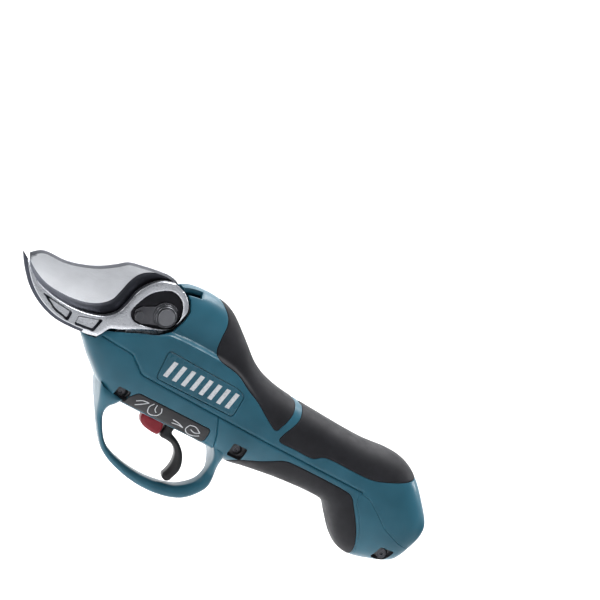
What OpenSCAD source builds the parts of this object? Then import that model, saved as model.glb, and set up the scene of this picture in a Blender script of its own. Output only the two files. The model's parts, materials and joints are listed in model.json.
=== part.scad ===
// Battery electric pruner. Blade tips towards -X, +Z up, blade pivot axis along Y at the origin.
// The counter blade and the pivot nut are on the -Y side.

/* [Jaws] */
// Opening of the cutting blade at its stop, in degrees
jaw_opening = 45; // [30:1:45]
// Thickness of the counter blade
hook_t = 6.5; // [6:0.1:7]
// Thickness of the cutting blade
blade_t = 3.5; // [3:0.1:3.6]
// Radius of the pivot bolt
bolt_r = 5; // [4.5:0.1:5.2]

/* [Body] */
// Half width of the body at the trigger
body_half_w = 21.5; // [21:0.1:23]
// Half width of the handle between the grips
handle_half_w = 19.5; // [19:0.1:21]
// Wall of the housing, with the grips' depth
wall = 3.4; // [3:0.1:3.6]
// Depth of the rubber grips
grip_t = 2; // [1.4:0.1:2.2]
// Width of the finger guard loop
guard_w = 13; // [10:0.5:15]

/* [Drive] */
// Slope of the drive axis below the horizontal, in degrees
drive_tilt = 19; // [18.5:0.5:19.5]
// Radius of the motor can
motor_r = 13.2; // [12.8:0.1:13.4]
// Length of the motor can
motor_len = 42; // [36:1:46]

/* [Controls] */
// Width of the trigger
trigger_w = 9; // [8:0.5:10]

/* [Hidden] */
$fn = 48;
eps = 0.01;
far = 100;

// Fit between a pin or bearing and its bore, and the reach of cuts that pass right through
pin_clearance = 0.05;
through = 60;

// Layers of the head along Y, from the near side inwards
hook_near = -17;
hook_far = hook_near + hook_t;
slide_gap = 0.05;
blade_near = hook_far + slide_gap;
blade_far = hook_near + hook_t + blade_t;
sector_near = blade_far;
drive_y = 1.5;
recess_depth = 3;
recess_floor = hook_near + recess_depth;
frame_near = 0;
washer_t = 1;
panel_t = 1.2;
frame_arm_near = 8.5;
frame_arm_far = 11;
bolt_head_t = 4;
bolt_head_r = 8.4;

// Lock of the pivot nut, seated in the counter blade's recess
plate_t = 1.3;
nut_flange_t = 1.2;
nut_flange_r = 7.1;
nut_hub_t = 1.6;
nut_near = recess_floor - plate_t - nut_flange_t - nut_hub_t - 1;
lock_screw_site = [-14.2, -6.6];
lock_screw_r = 1.25;
lock_screw_head_r = 2.5;
lock_screw_head_t = 1.6;

// Joint between the blade, its bush and the sector gear
bush_r = 6.5;
rivet_r = 1;
rivet_orbit = 8.2;
rivet_angles = [90, 210, 330];

// Foot of the counter blade, screwed to the frame below the gear
foot_sites = [[-11, -30], [-1, -30]];
foot_t = 2.4;
foot_head_t = 1.2;
foot_head_r = 3;
foot_screw_r = 2;
foot_screw_end = 2;

// Gears: modules in mm and tooth counts; the sector's count is that of its full circle
bevel_module = 0.8;
sector_teeth = 60;
pinion_teeth = 15;
planet_module = 0.5;
sun_teeth = 12;
planet_teeth = 18;
pressure_angle = 20;
tooth_top = 0.75 * bevel_module;
tooth_root = 0.95 * bevel_module;
tooth_play = 0.07;
planet_top = 0.75 * planet_module;
planet_root = 1.05 * planet_module;
planet_play = 0.05;
planet_pin_r = 1.5;
sector_r = bevel_module * sector_teeth / 2;
pinion_r = bevel_module * pinion_teeth / 2;
cone_len = sqrt(sector_r * sector_r + pinion_r * pinion_r);
cone_angle = atan(pinion_r / sector_r);
face_w = 6.5;
cone_taper = (cone_len - face_w) / cone_len;
ring_teeth = sun_teeth + 2 * planet_teeth;
orbit_r = planet_module * (sun_teeth + planet_teeth) / 2;
bevel_pitch = 360 / sector_teeth;

// Stations of the drive train along its axis, measured from the pivot axis
front_bearing_at = 26;
rear_bearing_at = 37;
bearing_t = 5;
bearing_r = 8;
shaft_r = 4;
carrier_at = 45;
carrier_t = 3;
planets_at = carrier_at + carrier_t + 0.5;
planets_t = 5;
ring_at = 43.5;
ring_r = 14.6;
motor_at = planets_at + planets_t + 1.5;
motor_plate_t = 3;
can_at = motor_at + motor_plate_t;
rotor_r = 7.8;
spindle_r = 2.5;
sun_bore = 1.4;
motor_bearing_r = 6;
motor_bearing_t = 3;
motor_bearing_seat = 1;
can_wall = 0.8;
can_end_t = 3;
stator_len = 26;
stator_at = can_at + 6;
stator_slots = 6;
case_screw_angles = [45, 135, 225, 315];
case_screw_orbit = 13.55;
case_screw_r = 0.6;

// Places of the controls: [x, z]
trigger_pivot = [39.3, -50];
lock_pivot = [31.3, -54];
control_pin_r = 1.5;
control_pin_reach = 13;
body_floor = -58.5;
control_slot_x = [18.2, 44.8];
control_slot_w = 11.2;
trigger_top = -46.2;
spring_x = 46.3;
spring_seat_z = -38;
lock_lever_top = -56.8;
lock_spring_x = 23.3;
lock_spring_seat_z = -47.5;
trigger_spring_len = spring_seat_z - trigger_top;
lock_spring_len = lock_spring_seat_z - lock_lever_top;

// Places of the housing screws and their pockets: [x, z]
screw_sites = [[-1, -52], [79, -52]];
screw_r = 1.7;
screw_head_r = 3;
cover_screw_site = [194, -68.5];
screw_head_y = -11;

// Near lower corner of the controller board, [x, z], and its size
board_at = [113, -33];
board_size = [34, 26, 1.6];

// Power inlet: middle of its mouth and slope of its axis
inlet_mouth = [207, -58];
inlet_tilt = 20;
inlet_r = 7;
inlet_len = 16;
inlet_free = 10;
inlet_wall = 2;
contact_orbit = 3.6;
contact_r = 1.1;

// ---- Curves ----

function mix4(a, b, c, d, t) =
    0.5 * (2 * b + (c - a) * t + (2 * a - 5 * b + 4 * c - d) * t * t + (3 * b - a - 3 * c + d) * t * t * t);

// Smooth closed outline through its points
function loop_through(p, steps = 4) = let (n = len(p))
    [for (i = [0 : n - 1]) for (k = [0 : steps - 1])
        mix4(p[(i + n - 1) % n], p[i], p[(i + 1) % n], p[(i + 2) % n], k / steps)];

// Smooth open curve through its points, ends included
function curve_through(p, steps = 4) = let (n = len(p))
    concat([for (i = [0 : n - 2]) for (k = [0 : steps - 1])
        mix4(p[max(i - 1, 0)], p[i], p[i + 1], p[min(i + 2, n - 1)], k / steps)], [p[n - 1]]);

// Smooth height of a profile, given as [x, height] knots, at one x
function knot_before(p, x, i = 0) = (i >= len(p) - 2 || x < p[i + 1][0]) ? i : knot_before(p, x, i + 1);
function rise(p, a, b) = (p[b][1] - p[a][1]) / (p[b][0] - p[a][0]);
function slope_at(p, i) = rise(p, max(i - 1, 0), min(i + 1, len(p) - 1));
function height_at(p, x) = let (i = knot_before(p, x), d = p[i + 1][0] - p[i][0], t = (x - p[i][0]) / d)
    (2 * t * t * t - 3 * t * t + 1) * p[i][1] + (t * t * t - 2 * t * t + t) * d * slope_at(p, i)
    + (3 * t * t - 2 * t * t * t) * p[i + 1][1] + (t * t * t - t * t) * d * slope_at(p, i + 1);
function smooth(t) = let (c = min(max(t, 0), 1)) c * c * (3 - 2 * c);

// ---- Body shape: profiles along X as [x, value] ----

nose_x = -36.5;
butt_x = 212;
body_top = [[-36.5, -32], [-34, -27], [-29, -21], [-22, -10], [-15, 1], [-6, 14], [2, 19], [8.5, 22],
    [17.5, 23.3], [26.5, 23], [34.5, 21.5], [41.5, 18], [54.5, 8], [64.5, 0], [74.5, -5], [89.5, -8.5],
    [114.5, -10.5], [149.5, -12], [169.5, -10.5], [181.5, -12], [192, -18], [204, -30], [209.8, -37], [212, -44.5]];
body_bottom = [[-36.5, -33.5], [-33.8, -36], [-29, -41], [-21, -48], [-14, -53.5], [-6, -57.5], [3, -58.5],
    [64, -58.5], [77, -61.5], [90, -60], [115, -57], [140.5, -56], [148.5, -58], [155.5, -65.5], [162.5, -73],
    [170, -78], [179, -79], [191, -76], [200.5, -72.5], [204.3, -69.5], [207, -64], [210.8, -53], [212, -47]];
body_half = [[-36.5, 4], [-34.5, 8.5], [-30, 12.5], [-22, 16], [-10, 19.5], [5, body_half_w - 0.5],
    [25, body_half_w], [50, body_half_w - 0.3], [75, handle_half_w + 0.7], [100, handle_half_w - 0.5],
    [135, handle_half_w], [165, handle_half_w + 1], [188, handle_half_w + 1.5], [200, handle_half_w],
    [207, handle_half_w - 3], [212, handle_half_w - 7]];
// Shoulder below which the body is wider than the head
shoulder = [[-36.5, -19], [-20, -17], [0, -12], [8, -8.5], [38, -8], [55, -10.5], [75, -20], [93, -30]];
head_narrowing = 0.2;
stations = [-36.5, -35, -31, -26, -19, -10, -1, 8.5, 18, 28, 39, 50, 61, 72, 86, 104, 124, 140, 149, 158, 167, 179,
    191, 201, 207.5, 212];
section_steps = 20;

function narrowing(x, z) =
    1 - head_narrowing * smooth((z - height_at(shoulder, x)) / 6) * (1 - smooth((x - 40) / 45));
function signed_power(v, p) = sign(v) * pow(abs(v), p);

// Exponent of the section's corners: boxy under the head, rounder at the top and along the handle
function corner(x, below) = 2 / (2.7 + (below ? 1.8 : 0.2) * (1 - smooth((x - 55) / 40)) * smooth((x + 34) / 28));
function section(x, inset) = let (
        top = height_at(body_top, x) - inset,
        bottom = height_at(body_bottom, x) + inset,
        mid = (top + bottom) / 2,
        half_h = max((top - bottom) / 2, 0.4),
        half_w = height_at(body_half, x) - inset)
    [for (k = [0 : section_steps - 1]) let (
            a = 360 * k / section_steps,
            power = corner(x, cos(a) < 0),
            z = mid + half_h * signed_power(cos(a), power),
            y = half_w * signed_power(sin(a), power))
        [x, y * narrowing(x, z), z]];

function squeeze(x, inset) = nose_x + inset + (x - nose_x) * (butt_x - nose_x - 2 * inset) / (butt_x - nose_x);

// The body as one closed loft, shrunk by inset on every side
module body_loft(inset = 0) {
    xs = [for (x = stations) squeeze(x, inset)];
    rings = [for (x = xs) section(x, inset)];
    n = section_steps;
    last = len(xs) - 1;
    polyhedron(
        points = [for (r = rings) for (p = r) p],
        faces = concat(
            [for (i = [0 : last - 1]) for (k = [0 : n - 1]) let (next = (k + 1) % n)
                [i * n + k, (i + 1) * n + next, (i + 1) * n + k]],
            [for (i = [0 : last - 1]) for (k = [0 : n - 1]) let (next = (k + 1) % n)
                [i * n + k, i * n + next, (i + 1) * n + next]],
            [[for (k = [n - 1 : -1 : 0]) k]],
            [[for (k = [0 : n - 1]) last * n + k]]));
}

// ---- Placing helpers ----

// Extrudes an XZ outline along Y between two planes
module along_y(y0, y1) {
    translate([0, y1, 0]) rotate([90, 0, 0]) linear_extrude(y1 - y0) children();
}

// A cylinder along Y at [x, z]
module pin_y(site, r, y0, y1) {
    translate([site[0], y1, site[1]]) rotate([90, 0, 0]) cylinder(r = r, h = y1 - y0);
}

// Turns the local +Z axis into the drive axis, which runs backwards from the pivot
module on_drive(at = 0) {
    translate([0, drive_y, 0]) rotate([0, 90 + drive_tilt, 0]) translate([0, 0, at]) children();
}

// Turns the local +Z axis into the inlet's axis, which leaves the butt
module on_inlet(at = 0) {
    translate([inlet_mouth[0], 0, inlet_mouth[1]]) rotate([0, 90 + inlet_tilt, 0]) translate([0, 0, at]) children();
}

module tube(outer, inner, h) {
    difference() {
        cylinder(r = outer, h = h);
        translate([0, 0, -1]) cylinder(r = inner, h = h + 2);
    }
}

// ---- Outlines in the XZ plane ----

guard_outer = [[-13.5, -50], [-10.5, -61], [-1.5, -77], [11, -91], [31, -98], [50.5, -99], [67, -94.5], [77, -84],
    [78.4, -75], [75.5, -63], [74, -50]];
guard_inner = [[1.5, -58.5], [-2.5, -64], [0.3, -73], [9, -85], [22.5, -90.5], [41, -92.5], [58.5, -89.5],
    [69, -82], [72.2, -74], [70, -64], [66, -58.5]];
front_grip_edge = [[26.5, 24], [30.5, 21], [34.5, 17], [36.5, 12], [36.5, 4], [37.5, -4], [42, -8], [55, -10.5],
    [65, -15.5], [75, -20], [85, -26], [93, -30], [96, -26], [98.8, -18], [99, -12], [98, -7]];
rear_grip_edge = [[103, -7], [104.2, -14], [103.5, -20], [98.5, -31], [99.5, -35], [110, -35], [122, -35],
    [128, -31.5], [135, -30.5], [155, -30.5], [165, -29.5], [175, -26], [185, -21.5], [193, -16]];
lower_grip_edge = [[76, -62.5], [81, -57.5], [95, -51], [103, -46.5], [108, -44], [116, -43], [148, -43],
    [156, -44.5], [161, -50], [168, -59], [173.5, -68], [176.5, -75], [178.5, -82]];
cover_edge = [[160, -40], [161, -46], [166, -52.5], [171.5, -61], [175.5, -70], [178, -76], [179.5, -84]];
cover_top = [[215, -58.5], [198, -57.5], [185, -53], [175, -46], [167, -41]];

head_room_edge = [[3.5, 19], [9.5, 15.5], [12.5, 9], [11.5, 2], [8.5, -5.5], [1, -11], [-10, -15.8], [-20, -20.5],
    [-27, -24], [-30, -30.5], [-42, -33], [-60, -33]];

hook_inner = [[-88.5, -7], [-82, -13.2], [-75, -17], [-65, -19.6], [-55, -20.5], [-45, -20], [-35, -17.5],
    [-30, -14.6], [-26, -10], [-24, -4], [-22.3, 4], [-20, 9], [-16, 14], [-11, 17.8], [-4, 19.8]];
hook_outer = [[2.5, 18], [7, 14.5], [10.2, 9], [9.3, 2.5], [7, -3.5], [2, -8.8], [-10, -14.5], [-20, -19],
    [-26, -21.5], [-28.7, -26], [-30.8, -29]];
hook_front = [[-36, -30.4], [-46, -31.3], [-58, -31], [-70, -27.2], [-80, -20.7], [-88, -12], [-93.5, -4]];
recess_edge = [[-20, -5], [-17.5, -10.2], [-12, -11.2], [-3, -9.3], [4.2, -6.4], [7.8, -1], [8, 5], [5, 11.5],
    [0, 14.6], [-5, 14.8], [-11, 11.5], [-16, 6]];
blade_spine = [[-88, -4], [-81, 1], [-68, 1.6], [-58, 4], [-48, 8], [-40, 13], [-33.5, 17.8], [-26, 19.6],
    [-18, 21], [-9, 22], [-3, 21]];
// Eye of the blade: round on the drive side, where the counter blade hides it
eye_edge = [[2.5, 17.5], [6.5, 12.5], [9, 6], [9.6, 0], [8.6, -5], [5, -8.5], [-2, -11]];
blade_edge = [[-14, -15], [-24, -20.5], [-36, -23], [-50, -23.6], [-64, -22.5], [-76, -18], [-85, -11]];
foot_edge = [[-16, -16.5], [-15, -34], [4, -34], [4, -8], [-4, -9]];
// Two shallow pockets in the counter blade's near side
pocket_edges = [
    [[-71, -20.4], [-50.5, -22.4], [-50.5, -28.6], [-61, -26.3]],
    [[-46.5, -22.6], [-32.5, -18.6], [-34, -27.4], [-46.5, -28.6]]];
pocket_depth = 1.6;
label_edge = [[-0.5, -57.2], [7.5, -46.8], [57, -46.8], [57.8, -50], [57.8, -57.2]];
panel_edge = [[10.5, -16], [60, -17.6], [65.5, -20], [65, -34.5], [11.5, -34.5]];

module hook_outline() {
    polygon(concat(curve_through(hook_inner), curve_through(hook_outer), curve_through(hook_front)));
}

module blade_outline() {
    polygon(concat(curve_through(blade_spine, 3), curve_through(eye_edge, 3), curve_through(blade_edge, 3)));
}

module front_grip_outline() { polygon(concat([[26.5, 60]], curve_through(front_grip_edge, 3), [[98, 60]])); }
module rear_grip_outline() { polygon(concat([[103, 60]], curve_through(rear_grip_edge, 3), [[193, 60]])); }
module lower_grip_outline() { polygon(concat([[76, -far]], curve_through(lower_grip_edge, 3))); }
module cover_outline() { polygon(concat(curve_through(cover_edge, 3), [[215, -84]], cover_top)); }

// ---- Housing ----

module guard_loop() {
    along_y(-guard_w / 2, guard_w / 2) difference() {
        polygon(loop_through(guard_outer, 5));
        polygon(loop_through(guard_inner, 5));
    }
}

// Pocket of the jaws, open to the front and to the near side
module head_room() {
    along_y(hook_near - 8, 1) polygon(concat([[-60, 40], [3, 40]], head_room_edge));
}

// Slot in the crown that the back of the open blade passes through
module crown_slot() {
    translate([0, blade_near - 0.6, 8]) cube([15.5, blade_t + 1.2, 20]);
}

module control_slot() {
    translate([control_slot_x[0], -control_slot_w / 2, body_floor - 4])
        cube([control_slot_x[1] - control_slot_x[0], control_slot_w, 9]);
}

module inlet_hole() {
    on_inlet(-24) cylinder(r = inlet_r + inlet_wall + 0.5, h = 40);
}

module shell_body() {
    difference() {
        union() {
            body_loft();
            guard_loop();
        }
        body_loft(wall);
        difference() {
            along_y(-through, through) {
                front_grip_outline();
                rear_grip_outline();
                lower_grip_outline();
            }
            body_loft(grip_t);
            guard_loop();
        }
        difference() {
            along_y(-through, through) {
                polygon(panel_edge);
                polygon(label_edge);
            }
            body_loft(panel_t);
            guard_loop();
        }
        along_y(-through, through) cover_outline();
        head_room();
        crown_slot();
        control_slot();
        inlet_hole();
        along_y(-1, frame_arm_far + 0.4) offset(0.5) frame_outline();
    }
}

// Bosses that the housing screws join, and the seats of pins and springs
module inner_bosses() {
    for (site = screw_sites) pin_y(site, 4.4, -18, 18);
    pin_y(trigger_pivot, 3, 6, 19);
    pin_y(trigger_pivot, 3, -19, -6);
    pin_y(lock_pivot, 2.6, 6, 19);
    pin_y(lock_pivot, 2.6, -19, -6);
    translate([spring_x - 5, -19, spring_seat_z]) cube([10, 38, 2.5]);
    translate([lock_spring_x - 4, -19, lock_spring_seat_z]) cube([8, 38, 2]);
}

module screw_bores() {
    for (site = screw_sites) {
        pin_y(site, screw_r + 0.4, -through, 0);
        pin_y(site, screw_r, -eps, 13);
        pin_y(site, screw_head_r + 0.3, -through, screw_head_y);
    }
    for (site = [trigger_pivot, lock_pivot])
        pin_y(site, control_pin_r, -control_pin_reach - 0.2, control_pin_reach + 0.2);
}

module half(side) {
    intersection() {
        children();
        translate([-far, side < 0 ? -far : 0, -2 * far]) cube([5 * far, far, 4 * far]);
    }
}

module shell(side) {
    difference() {
        half(side) union() {
            shell_body();
            difference() {
                intersection() {
                    inner_bosses();
                    body_loft(wall - 0.4);
                }
                along_y(-through, through) front_grip_outline();
            }
        }
        screw_bores();
        if (side > 0) pin_y([0, 0], bolt_head_r + 0.8, 0, through);
    }
}

module housing_left() { color([0.13, 0.38, 0.47]) shell(-1); }

module housing_right() { color([0.13, 0.38, 0.47]) shell(1); }

module end_cover() {
    color([0.12, 0.42, 0.53]) difference() {
        intersection() {
            body_loft();
            along_y(-through, through) cover_outline();
        }
        body_loft(wall - 0.5);
        along_y(-through, through) lower_grip_outline();
        inlet_hole();
        pin_y(cover_screw_site, screw_head_r + 0.3, -through, screw_head_y);
        pin_y(cover_screw_site, screw_r, -through, through);
    }
}

module grip(inner_inset) {
    difference() {
        intersection() {
            body_loft();
            children();
        }
        body_loft(inner_inset);
    }
}

module front_grip() { color([0.16, 0.16, 0.18]) grip(grip_t) along_y(-through, through) front_grip_outline(); }

module rear_grip() { color([0.16, 0.16, 0.18]) grip(grip_t) along_y(-through, through) rear_grip_outline(); }

module lower_grip() {
    color([0.11, 0.11, 0.13]) difference() {
        grip(grip_t) along_y(-through, through) lower_grip_outline();
        guard_loop();
    }
}

// A plate let into one side of the body, flush with it
module side_plate(side) {
    difference() {
        half(side) intersection() {
            body_loft();
            along_y(-through, through) children();
        }
        body_loft(panel_t);
        guard_loop();
    }
}

module name_panel(side) { color([0.15, 0.4, 0.5]) side_plate(side) polygon(panel_edge); }

module name_panel_left() { name_panel(-1); }

module name_panel_right() { name_panel(1); }

module trigger_panel(side) {
    color([0.1, 0.1, 0.11]) difference() {
        side_plate(side) polygon(label_edge);
        pin_y(screw_sites[0], screw_head_r + 1.6, -through, through);
    }
}

module trigger_panel_left() { trigger_panel(-1); }

module trigger_panel_right() { trigger_panel(1); }

// ---- Jaws ----

module counter_blade() {
    color([0.8, 0.82, 0.85]) difference() {
        union() {
            along_y(hook_near, hook_far) hook_outline();
            along_y(hook_far - foot_t, hook_far) polygon(foot_edge);
        }
        along_y(hook_near - 1, recess_floor) polygon(loop_through(recess_edge, 3));
        for (edge = pocket_edges) along_y(hook_near - 1, hook_near + pocket_depth) polygon(edge);
        pin_y([0, 0], bolt_r + pin_clearance, -through, 0);
        pin_y(lock_screw_site, lock_screw_r + pin_clearance, -through, 0);
        for (site = foot_sites) pin_y(site, foot_screw_r + 0.1, -through, 0);
    }
}

module counter_blade_screws() {
    color([0.25, 0.25, 0.27]) for (site = foot_sites) {
        pin_y(site, foot_head_r, hook_far - foot_t - foot_head_t, hook_far - foot_t);
        pin_y(site, foot_screw_r, hook_far - foot_t, foot_screw_end);
    }
}

module cutting_blade() {
    color([0.9, 0.91, 0.93]) difference() {
        along_y(blade_near, blade_far) blade_outline();
        pin_y([0, 0], bush_r, -through, 0);
        for (a = rivet_angles) pin_y(rivet_site(a), rivet_r, -through, 0);
        // Ground bevel along the cutting edge, on the side away from the counter blade
        along_y(blade_far - 1.4, blade_far + 1) difference() {
            polygon(concat(curve_through(blade_edge, 3), [[-92, 0], [-95, -40], [-14, -40]]));
            translate([0.6, 2.2]) polygon(concat([[-14, 20]], curve_through(blade_edge, 3), [[-80, 20]]));
        }
    }
}

function rivet_site(a) = rivet_orbit * [cos(a), sin(a)];

module blade_bush() {
    color([0.72, 0.56, 0.3]) difference() {
        pin_y([0, 0], bush_r, blade_near, frame_near - washer_t - slide_gap);
        pin_y([0, 0], bolt_r + pin_clearance, -through, 5);
    }
}

module sector_rivets() {
    color([0.5, 0.5, 0.52]) for (a = rivet_angles) pin_y(rivet_site(a), rivet_r, blade_near + 0.2, blade_far + 2);
}

module pivot_bolt() {
    color([0.45, 0.45, 0.48]) union() {
        pin_y([0, 0], bolt_r, nut_near, frame_arm_far + 1);
        translate([0, frame_arm_far + bolt_head_t, 0]) rotate([90, 0, 0])
            cylinder(r = bolt_head_r, h = bolt_head_t, $fn = 6);
    }
}

// Toothed plate that keeps the nut from turning, with an arc slot for its screw
module lock_plate() {
    color([0.24, 0.24, 0.26]) along_y(recess_floor - plate_t, recess_floor) difference() {
        union() {
            circle(r = 7);
            for (k = [0 : 8]) rotate(60 + 17 * k) translate([5, -1]) square([3, 2]);
            rotate(180 + 24) polygon([[0, -5.6], [14, -5], [18, -3], [18.4, 0], [18, 3], [14, 5], [0, 5.6]]);
        }
        circle(r = bolt_r + pin_clearance);
        for (a = [-4 : 2 : 4]) rotate(a) translate(lock_screw_site) circle(r = lock_screw_r + 0.2);
    }
}

module pivot_nut() {
    color([0.3, 0.3, 0.32]) difference() {
        union() {
            pin_y([0, 0], nut_flange_r, recess_floor - plate_t - nut_flange_t, recess_floor - plate_t);
            pin_y([0, 0], 6.2, nut_near + 1, recess_floor - plate_t - nut_flange_t);
        }
        pin_y([0, 0], bolt_r, -through, 0);
    }
}

module lock_screw() {
    color([0.2, 0.2, 0.22]) union() {
        pin_y(lock_screw_site, lock_screw_head_r, recess_floor - plate_t - lock_screw_head_t, recess_floor - plate_t);
        pin_y(lock_screw_site, lock_screw_r, recess_floor - plate_t, hook_far);
    }
}

module thrust_washer() {
    color([0.66, 0.6, 0.42]) difference() {
        pin_y([0, 0], 9.5, frame_near - washer_t, frame_near);
        pin_y([0, 0], bolt_r + 0.02, -through, 5);
    }
}

// ---- Bevel drive ----

// One straight tooth of the sector on the pitch cone's generator: +Z away from the cone's tip, +Y its height
module sector_tooth() {
    half_pitch = PI * bevel_module / 4 - tooth_play;
    flank = tan(pressure_angle);
    foot = tooth_root + 0.3;
    translate([0, 0, cone_len]) mirror([0, 0, 1]) linear_extrude(face_w, scale = cone_taper) polygon([
        [-half_pitch - flank * foot, -foot],
        [half_pitch + flank * foot, -foot],
        [half_pitch - flank * tooth_top, tooth_top],
        [-half_pitch + flank * tooth_top, tooth_top]]);
}

// A tooth space of the sector faces the pinion's tooth at rest
module sector_tooth_row() {
    for (k = [-3 : ceil(jaw_opening / bevel_pitch) + 2])
        translate([0, drive_y, 0]) rotate([0, 90 + drive_tilt - (k + 0.5) * bevel_pitch, 0])
            rotate([cone_angle, 0, 0]) sector_tooth();
}

module sector_outline() {
    circle(r = 11);
    polygon(concat([[0, 0]], [for (k = [0 : 8]) let (a = -drive_tilt - 16 + k * (jaw_opening + 32) / 8)
        40 * [cos(a), sin(a)]]));
}

// The profile's second coordinate is the depth behind the cone's tip, towards the blade
module sector_disc() {
    back = drive_y - sector_near;
    hub = drive_y - frame_near + washer_t + slide_gap;
    root = pinion_r + tooth_root;
    translate([0, drive_y, 0]) rotate([90, 0, 0]) rotate_extrude() polygon([
        [0, hub], [9.4, hub], [11, back - 2.4], [sector_r * cone_taper, root * cone_taper], [sector_r, root],
        [sector_r + 0.3, root + 0.1], [sector_r + 0.3, back], [0, back]]);
}

module sector_gear() {
    color([0.55, 0.56, 0.6]) difference() {
        union() {
            intersection() {
                sector_disc();
                along_y(-30, 10) sector_outline();
            }
            sector_tooth_row();
        }
        pin_y([0, 0], bush_r, -through, 10);
        for (a = rivet_angles) pin_y(rivet_site(a), rivet_r, -through, blade_far + 2);
    }
}

// Half of the angle that a tooth fills at radius r
function involute(a) = tan(a) * 180 / PI - a;
function tooth_half(m, z, r, play) = let (base = m * z / 2 * cos(pressure_angle))
    90 / z - play / (m * z / 2) * 180 / PI + involute(pressure_angle) - involute(acos(min(1, base / max(r, base))));

// Outline of an involute gear with its first tooth on +X
function gear_outline(m, z, top, root, play) = let (
        low = m * z / 2 - root,
        high = m * z / 2 + top,
        radii = [for (k = [0 : 4]) low + (high - low) * k / 4])
    [for (i = [0 : z - 1]) for (k = [0 : 9]) let (
            r = radii[k < 5 ? k : 9 - k],
            a = 360 * i / z + (k < 5 ? -1 : 1) * tooth_half(m, z, r, play))
        [r * cos(a), r * sin(a)]];

module bevel_pinion() {
    len = sector_r * (1 - cone_taper);
    color([0.6, 0.61, 0.64]) on_drive() union() {
        translate([0, 0, sector_r]) mirror([0, 0, 1]) linear_extrude(len, scale = cone_taper)
            rotate(-90) polygon(gear_outline(bevel_module, pinion_teeth, tooth_top, tooth_root, tooth_play));
        translate([0, 0, sector_r - eps]) cylinder(r = shaft_r, h = carrier_at - sector_r + eps);
    }
}

// ---- Frame and bearings ----

// Plate of the frame behind the sector: the pivot's eye, the foot's two ears and the root of the bearing tube
module frame_outline() {
    circle(r = 10);
    for (site = foot_sites) translate(site) circle(r = 4.4);
    polygon([[-10, 0], [-17, -31], [-13, -34.2], [0, -34.2], [3.2, -30], [8, -8]]);
    rotate(-drive_tilt) translate([0, -10.5]) square([43, 21]);
}

module gear_frame() {
    color([0.62, 0.63, 0.65]) difference() {
        union() {
            along_y(frame_arm_near, frame_arm_far) frame_outline();
            pin_y([0, 0], 9.8, frame_near, frame_arm_far);
            for (site = foot_sites) pin_y(site, 4.2, hook_far, frame_arm_far);
            on_drive(front_bearing_at - 0.5) cylinder(r = 11, h = ring_at - front_bearing_at + 0.5);
            on_drive(ring_at - 2.5) cylinder(r = ring_r, h = 2.5);
        }
        pin_y([0, 0], bolt_r + pin_clearance, -through, through);
        for (site = foot_sites) pin_y(site, foot_screw_r, -through, foot_screw_end + 0.2);
        on_drive(front_bearing_at) cylinder(r = bearing_r, h = bearing_t);
        on_drive(front_bearing_at - 5) cylinder(r = 6.4, h = 40);
        on_drive(rear_bearing_at) cylinder(r = bearing_r, h = 20);
        on_drive(sector_r * cone_taper - 1) cylinder(r = pinion_r + tooth_top + 0.4, h = 8.5);
        for (a = case_screw_angles) on_drive(ring_at - 3) rotate(a) translate([case_screw_orbit, 0])
            cylinder(r = case_screw_r, h = 5);
    }
}

// Screws that clamp the ring gear between the frame and the motor plate
module case_screws() {
    color([0.3, 0.3, 0.32]) for (a = case_screw_angles) on_drive(ring_at - 2.4) rotate(a)
        translate([case_screw_orbit, 0]) cylinder(r = case_screw_r, h = motor_at + motor_plate_t - ring_at + 2.2);
}

module bearing(at, inner, outer, t) {
    color([0.7, 0.71, 0.74]) on_drive(at) tube(outer, inner, t);
}

module pinion_bearing_front() { bearing(front_bearing_at, shaft_r + pin_clearance, bearing_r, bearing_t); }

module pinion_bearing_rear() { bearing(rear_bearing_at, shaft_r + pin_clearance, bearing_r, bearing_t); }

// ---- Planetary gearbox ----

module planet_carrier() {
    color([0.5, 0.5, 0.53]) difference() {
        on_drive(carrier_at) cylinder(r = 9.6, h = carrier_t);
        for (k = [0 : 2]) on_drive(carrier_at - 1) rotate(120 * k) translate([orbit_r, 0])
            cylinder(r = planet_pin_r, h = 10);
    }
}

module planet_pins() {
    color([0.75, 0.76, 0.78]) for (k = [0 : 2]) on_drive(carrier_at) rotate(120 * k) translate([orbit_r, 0])
        cylinder(r = planet_pin_r, h = planets_at + planets_t - carrier_at + 0.4);
}

module planet_gear(k) {
    color([0.72, 0.6, 0.35]) on_drive(planets_at) rotate(120 * k) translate([orbit_r, 0, 0])
        linear_extrude(planets_t) difference() {
            rotate(180 / planet_teeth)
                polygon(gear_outline(planet_module, planet_teeth, planet_top, planet_root, planet_play));
            circle(r = planet_pin_r + pin_clearance);
        }
}

module planet_gear_1() { planet_gear(0); }

module planet_gear_2() { planet_gear(1); }

module planet_gear_3() { planet_gear(2); }

module ring_gear() {
    len = motor_at - ring_at;
    color([0.5, 0.51, 0.54]) on_drive(ring_at) difference() {
        cylinder(r = ring_r, h = len);
        translate([0, 0, -1]) linear_extrude(len + 2) rotate(180 / ring_teeth)
            polygon(gear_outline(planet_module, ring_teeth, planet_root, planet_top, -planet_play));
        for (a = case_screw_angles) rotate(a) translate([case_screw_orbit, 0, -1]) cylinder(r = case_screw_r, h = 20);
    }
}

module sun_gear() {
    color([0.6, 0.6, 0.63]) on_drive(planets_at) difference() {
        linear_extrude(planets_t)
            polygon(gear_outline(planet_module, sun_teeth, planet_top, planet_root, planet_play));
        translate([0, 0, -1]) cylinder(r = sun_bore, h = 10);
    }
}

// ---- Motor ----

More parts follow.
